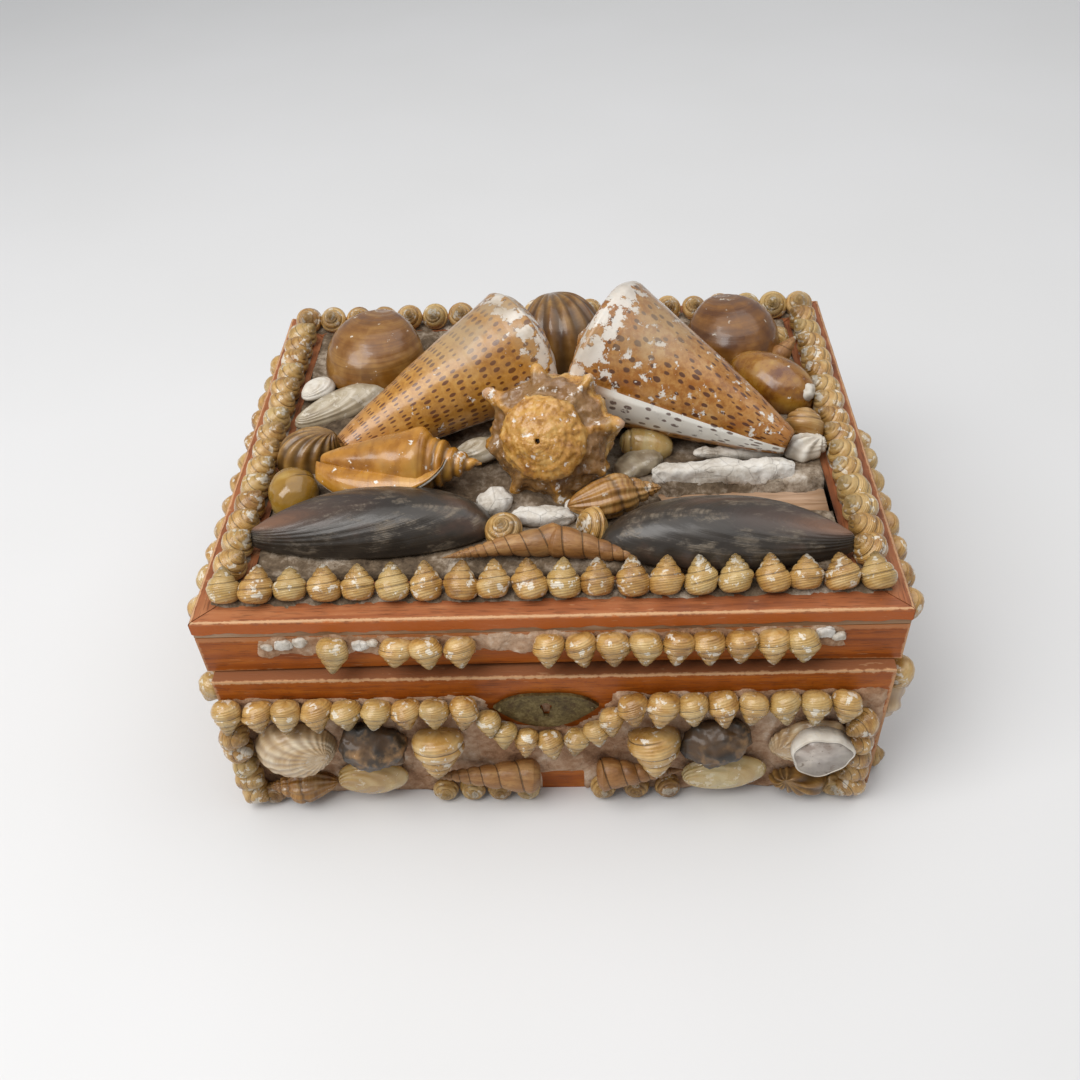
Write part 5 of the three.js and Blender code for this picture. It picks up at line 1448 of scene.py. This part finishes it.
bareField = {"left": 33.0, "front": -38.0, "back": -25.0}
fragments = [
    # finish, form, size, place on the lid, heading, rise over the bed
    ("white", "valve", (14, 10, 4), (-80, 27), 60, 1.2),
    ("greyPale", "valve", (36, 13, 6), (-70, 19), 35, 0.0),
    ("white", "ribbed", (13, 10, 5), (80.5, -12), 200, 0.5),
    ("whitePlaster", "lump", (19, 6, 5), (-1, -41), 3, 1.2),
    ("whitePlaster", "lump", (10, 9, 6), (-16, -34), 30, 1.5),
    ("whitePlaster", "lump", (12, 7, 5), (11, -38.5), -20, 0.5),
    ("greyPale", "valve", (15, 11, 5), (-22, -10), 10, 1.0),
    ("golden", "snail", (9, 8, 8), (80, 48), 0, 3.0),
    ("turret", "snail", (7, 7, 14), (80, 37), 0, 4.0),
    ("whitePlaster", "lump", (30, 5, 4), (60, -13), 8, 0.5),
    ("greyPale", "lump", (16, 10, 6), (28, -17), 30, 0.8),
]


def plasterBed():
    def height(u, v):
        ragged = 1.3 * noiseOver(u, v, 6.0, 4, 12.0)
        patch = smooth(u - bareField["left"] + 2 * ragged, 0, 3)
        patch = patch * smooth(v - bareField["front"] + ragged, 0, 1.5)
        patch = patch * smooth(bareField["back"] - v + ragged, 0, 1.5)
        hills = 1.5 * noiseOver(u, v, 11.0, 4, 6.0) + 0.4 * noiseOver(u, v, 2.2, 3, 16.0)
        return bedTop - 0.9 + hills - patch * (bedTop - topBoard + 1.6)
    bed = crust((1, 0, 0), (0, 1, 0), (0, 0, 1), (fieldLow[0], fieldHigh[0]), (fieldLow[1], fieldHigh[1]),
                1.1, height,
                topBoard - 0.3, "plaster")
    parts = [bed]
    for k, (finish, form, size, (x, y), degrees, rise) in enumerate(fragments):
        facing = (*heading(degrees), 0)
        if form == "lump":
            part = lump({"size": size, "rough": 0.8, "grain": 3.0, "square": 0.7, "rows": 26,
                         "columns": 34}, finish,
                        0.5, k + 1.0)
        elif form == "snail":
            part = snail(flatSnail if size[2] < 10 else topShell, finish, size[0], size[2], 0.5, k / 7)
        else:
            part = valve({"length": size[0], "width": size[1], "height": size[2], "rows": 24, "columns": 80,
                          "ribs": 14 if form == "ribbed" else 0, "ribDepth": 0.4, "terraces": 5,
                          "terraceDepth": 0.1},
                         finish, shade=0.5)
        tilt = (0.15 * math.sin(3 * k), 0.12 * math.cos(2 * k), 1) if form != "snail" else (0.5, 0.3, 0.5)
        parts.append(placed(part, (x, y, bedTop + rise), tilt, facing))
    makePiece("lid_plaster", parts, ("lid_plaster_bed",))
    ridgeLow, ridgeHigh = boxOf("lid_plaster_ridge")
    size = ridgeHigh - ridgeLow
    ridge = lump({"size": (size[0], 7.2, 7.0), "rough": 0.9, "grain": 4.0, "square": 0.55, "rows": 90,
                  "columns": 44},
                 "whitePlaster", 0.5, 3.0)
    middle = (ridgeLow + ridgeHigh) / 2
    placed(ridge, (middle[0], middle[1], bedTop), (0, 0.2, 1), (1, 0.02, 0))
    makePiece("plaster_ridge", ridge, ("lid_plaster_ridge",))
    print("plaster done")


def lockPins():
    parts = []
    for side, bright in ((-1, False), (1, True)):
        x = (plateLow[0] + plateHigh[0]) / 2 + side * 0.44 * (plateHigh[0] - plateLow[0])
        dome = spun(flowing([(0.02, 0.55), (0.45, 0.45), (0.75, 0.1), (0.8, -0.3), (0.05, -0.4)], 14), 20)
        pin = skin(dome, np.linspace(0, 1, 14), aroundOf(20), "brass", shade=float(bright))
        z = (plateLow[2] + plateHigh[2]) / 2 + 0.9
        parts.append(placed(pin, (x, plateLow[1], z), (0, -1, 0), (1, 0, 0)))
    makePiece("lock_pins", parts)


cameraLook = {"at": (12.96, -282.0, 296.2), "yaw": -3.69, "pitch": 43.06, "roll": 3.93, "lens": 36.37,
              "sensor": 36.0}
lights = [
    # name, place in mm, aimed at, size in mm, power
    ("window", (-500, -350, 900), (0, 0, 40), (700, 900), 9.2),
    ("ceiling", (250, 150, 1100), (0, 0, 40), (1400, 1400), 7.2),
]


def studio():
    floor = bpy.data.meshes.new("floor")
    reach = 4.0  # metres
    floor.from_pydata([(-reach, -reach, 0), (reach, -reach, 0), (reach, reach, 0), (-reach, reach, 0)], [],
                      [(0, 1, 2, 3)])
    ground = bpy.data.objects.new("floor", floor)
    bpy.context.scene.collection.objects.link(ground)
    material, tree, surface, place = newFinish("pale_floor")
    cloud = grainOf(tree, place, 160.0, 2.0)
    setSurface(tree, surface, ramp(tree, cloud, [(0.3, (0.68, 0.68, 0.68)), (0.7, (0.70, 0.70, 0.705))]),
               0.7)
    floor.materials.append(material)
    for name, at, aim, size, power in lights:
        lamp = bpy.data.lights.new(name, "AREA")
        lamp.shape = "RECTANGLE"
        lamp.size, lamp.size_y = size[0] * mm, size[1] * mm
        lamp.energy = power
        lamp.color = (1.0, 0.985, 0.965)
        holder = bpy.data.objects.new(name, lamp)
        holder.location = Vector(at) * mm
        holder.rotation_euler = (Vector(aim) - Vector(at)).to_track_quat("-Z", "Y").to_euler()
        bpy.context.scene.collection.objects.link(holder)
    world = bpy.data.worlds.new("studio")
    world.use_nodes = True
    world.node_tree.nodes["Background"].inputs["Color"].default_value = (0.93, 0.96, 1.0, 1)
    world.node_tree.nodes["Background"].inputs["Strength"].default_value = 0.36
    bpy.context.scene.world = world
    bpy.context.scene.view_settings.view_transform = "Standard"

    yaw, pitch, roll = (math.radians(cameraLook[key]) for key in ("yaw", "pitch", "roll"))
    forward = Vector((math.sin(yaw) * math.cos(pitch), math.cos(yaw) * math.cos(pitch), -math.sin(pitch)))
    right = Vector((math.cos(yaw), -math.sin(yaw), 0))
    down = forward.cross(right)
    x = right * math.cos(roll) + down * math.sin(roll)
    y = right * math.sin(roll) - down * math.cos(roll)
    lens = bpy.data.cameras.new("camera")
    lens.lens = cameraLook["lens"]
    lens.sensor_width = cameraLook["sensor"]
    lens.clip_start = 0.01
    camera = bpy.data.objects.new("camera", lens)
    camera.matrix_world = Matrix.LocRotScale(Vector(cameraLook["at"]) * mm,
                                             Matrix((x, y, -forward)).transposed().to_quaternion(), None)
    bpy.context.scene.collection.objects.link(camera)
    bpy.context.scene.camera = camera


studio()
boards()
frameBoards()
borders()
for name in edgeRows:
    edgeRow(name)
caseFrontRows()
caseFrontShells()
for name in facings:
    caseFacing(name)
cones()
crown()
conch()
lidValves()
lidSnails()
plasterBed()
lockPins()
print("all pieces done")
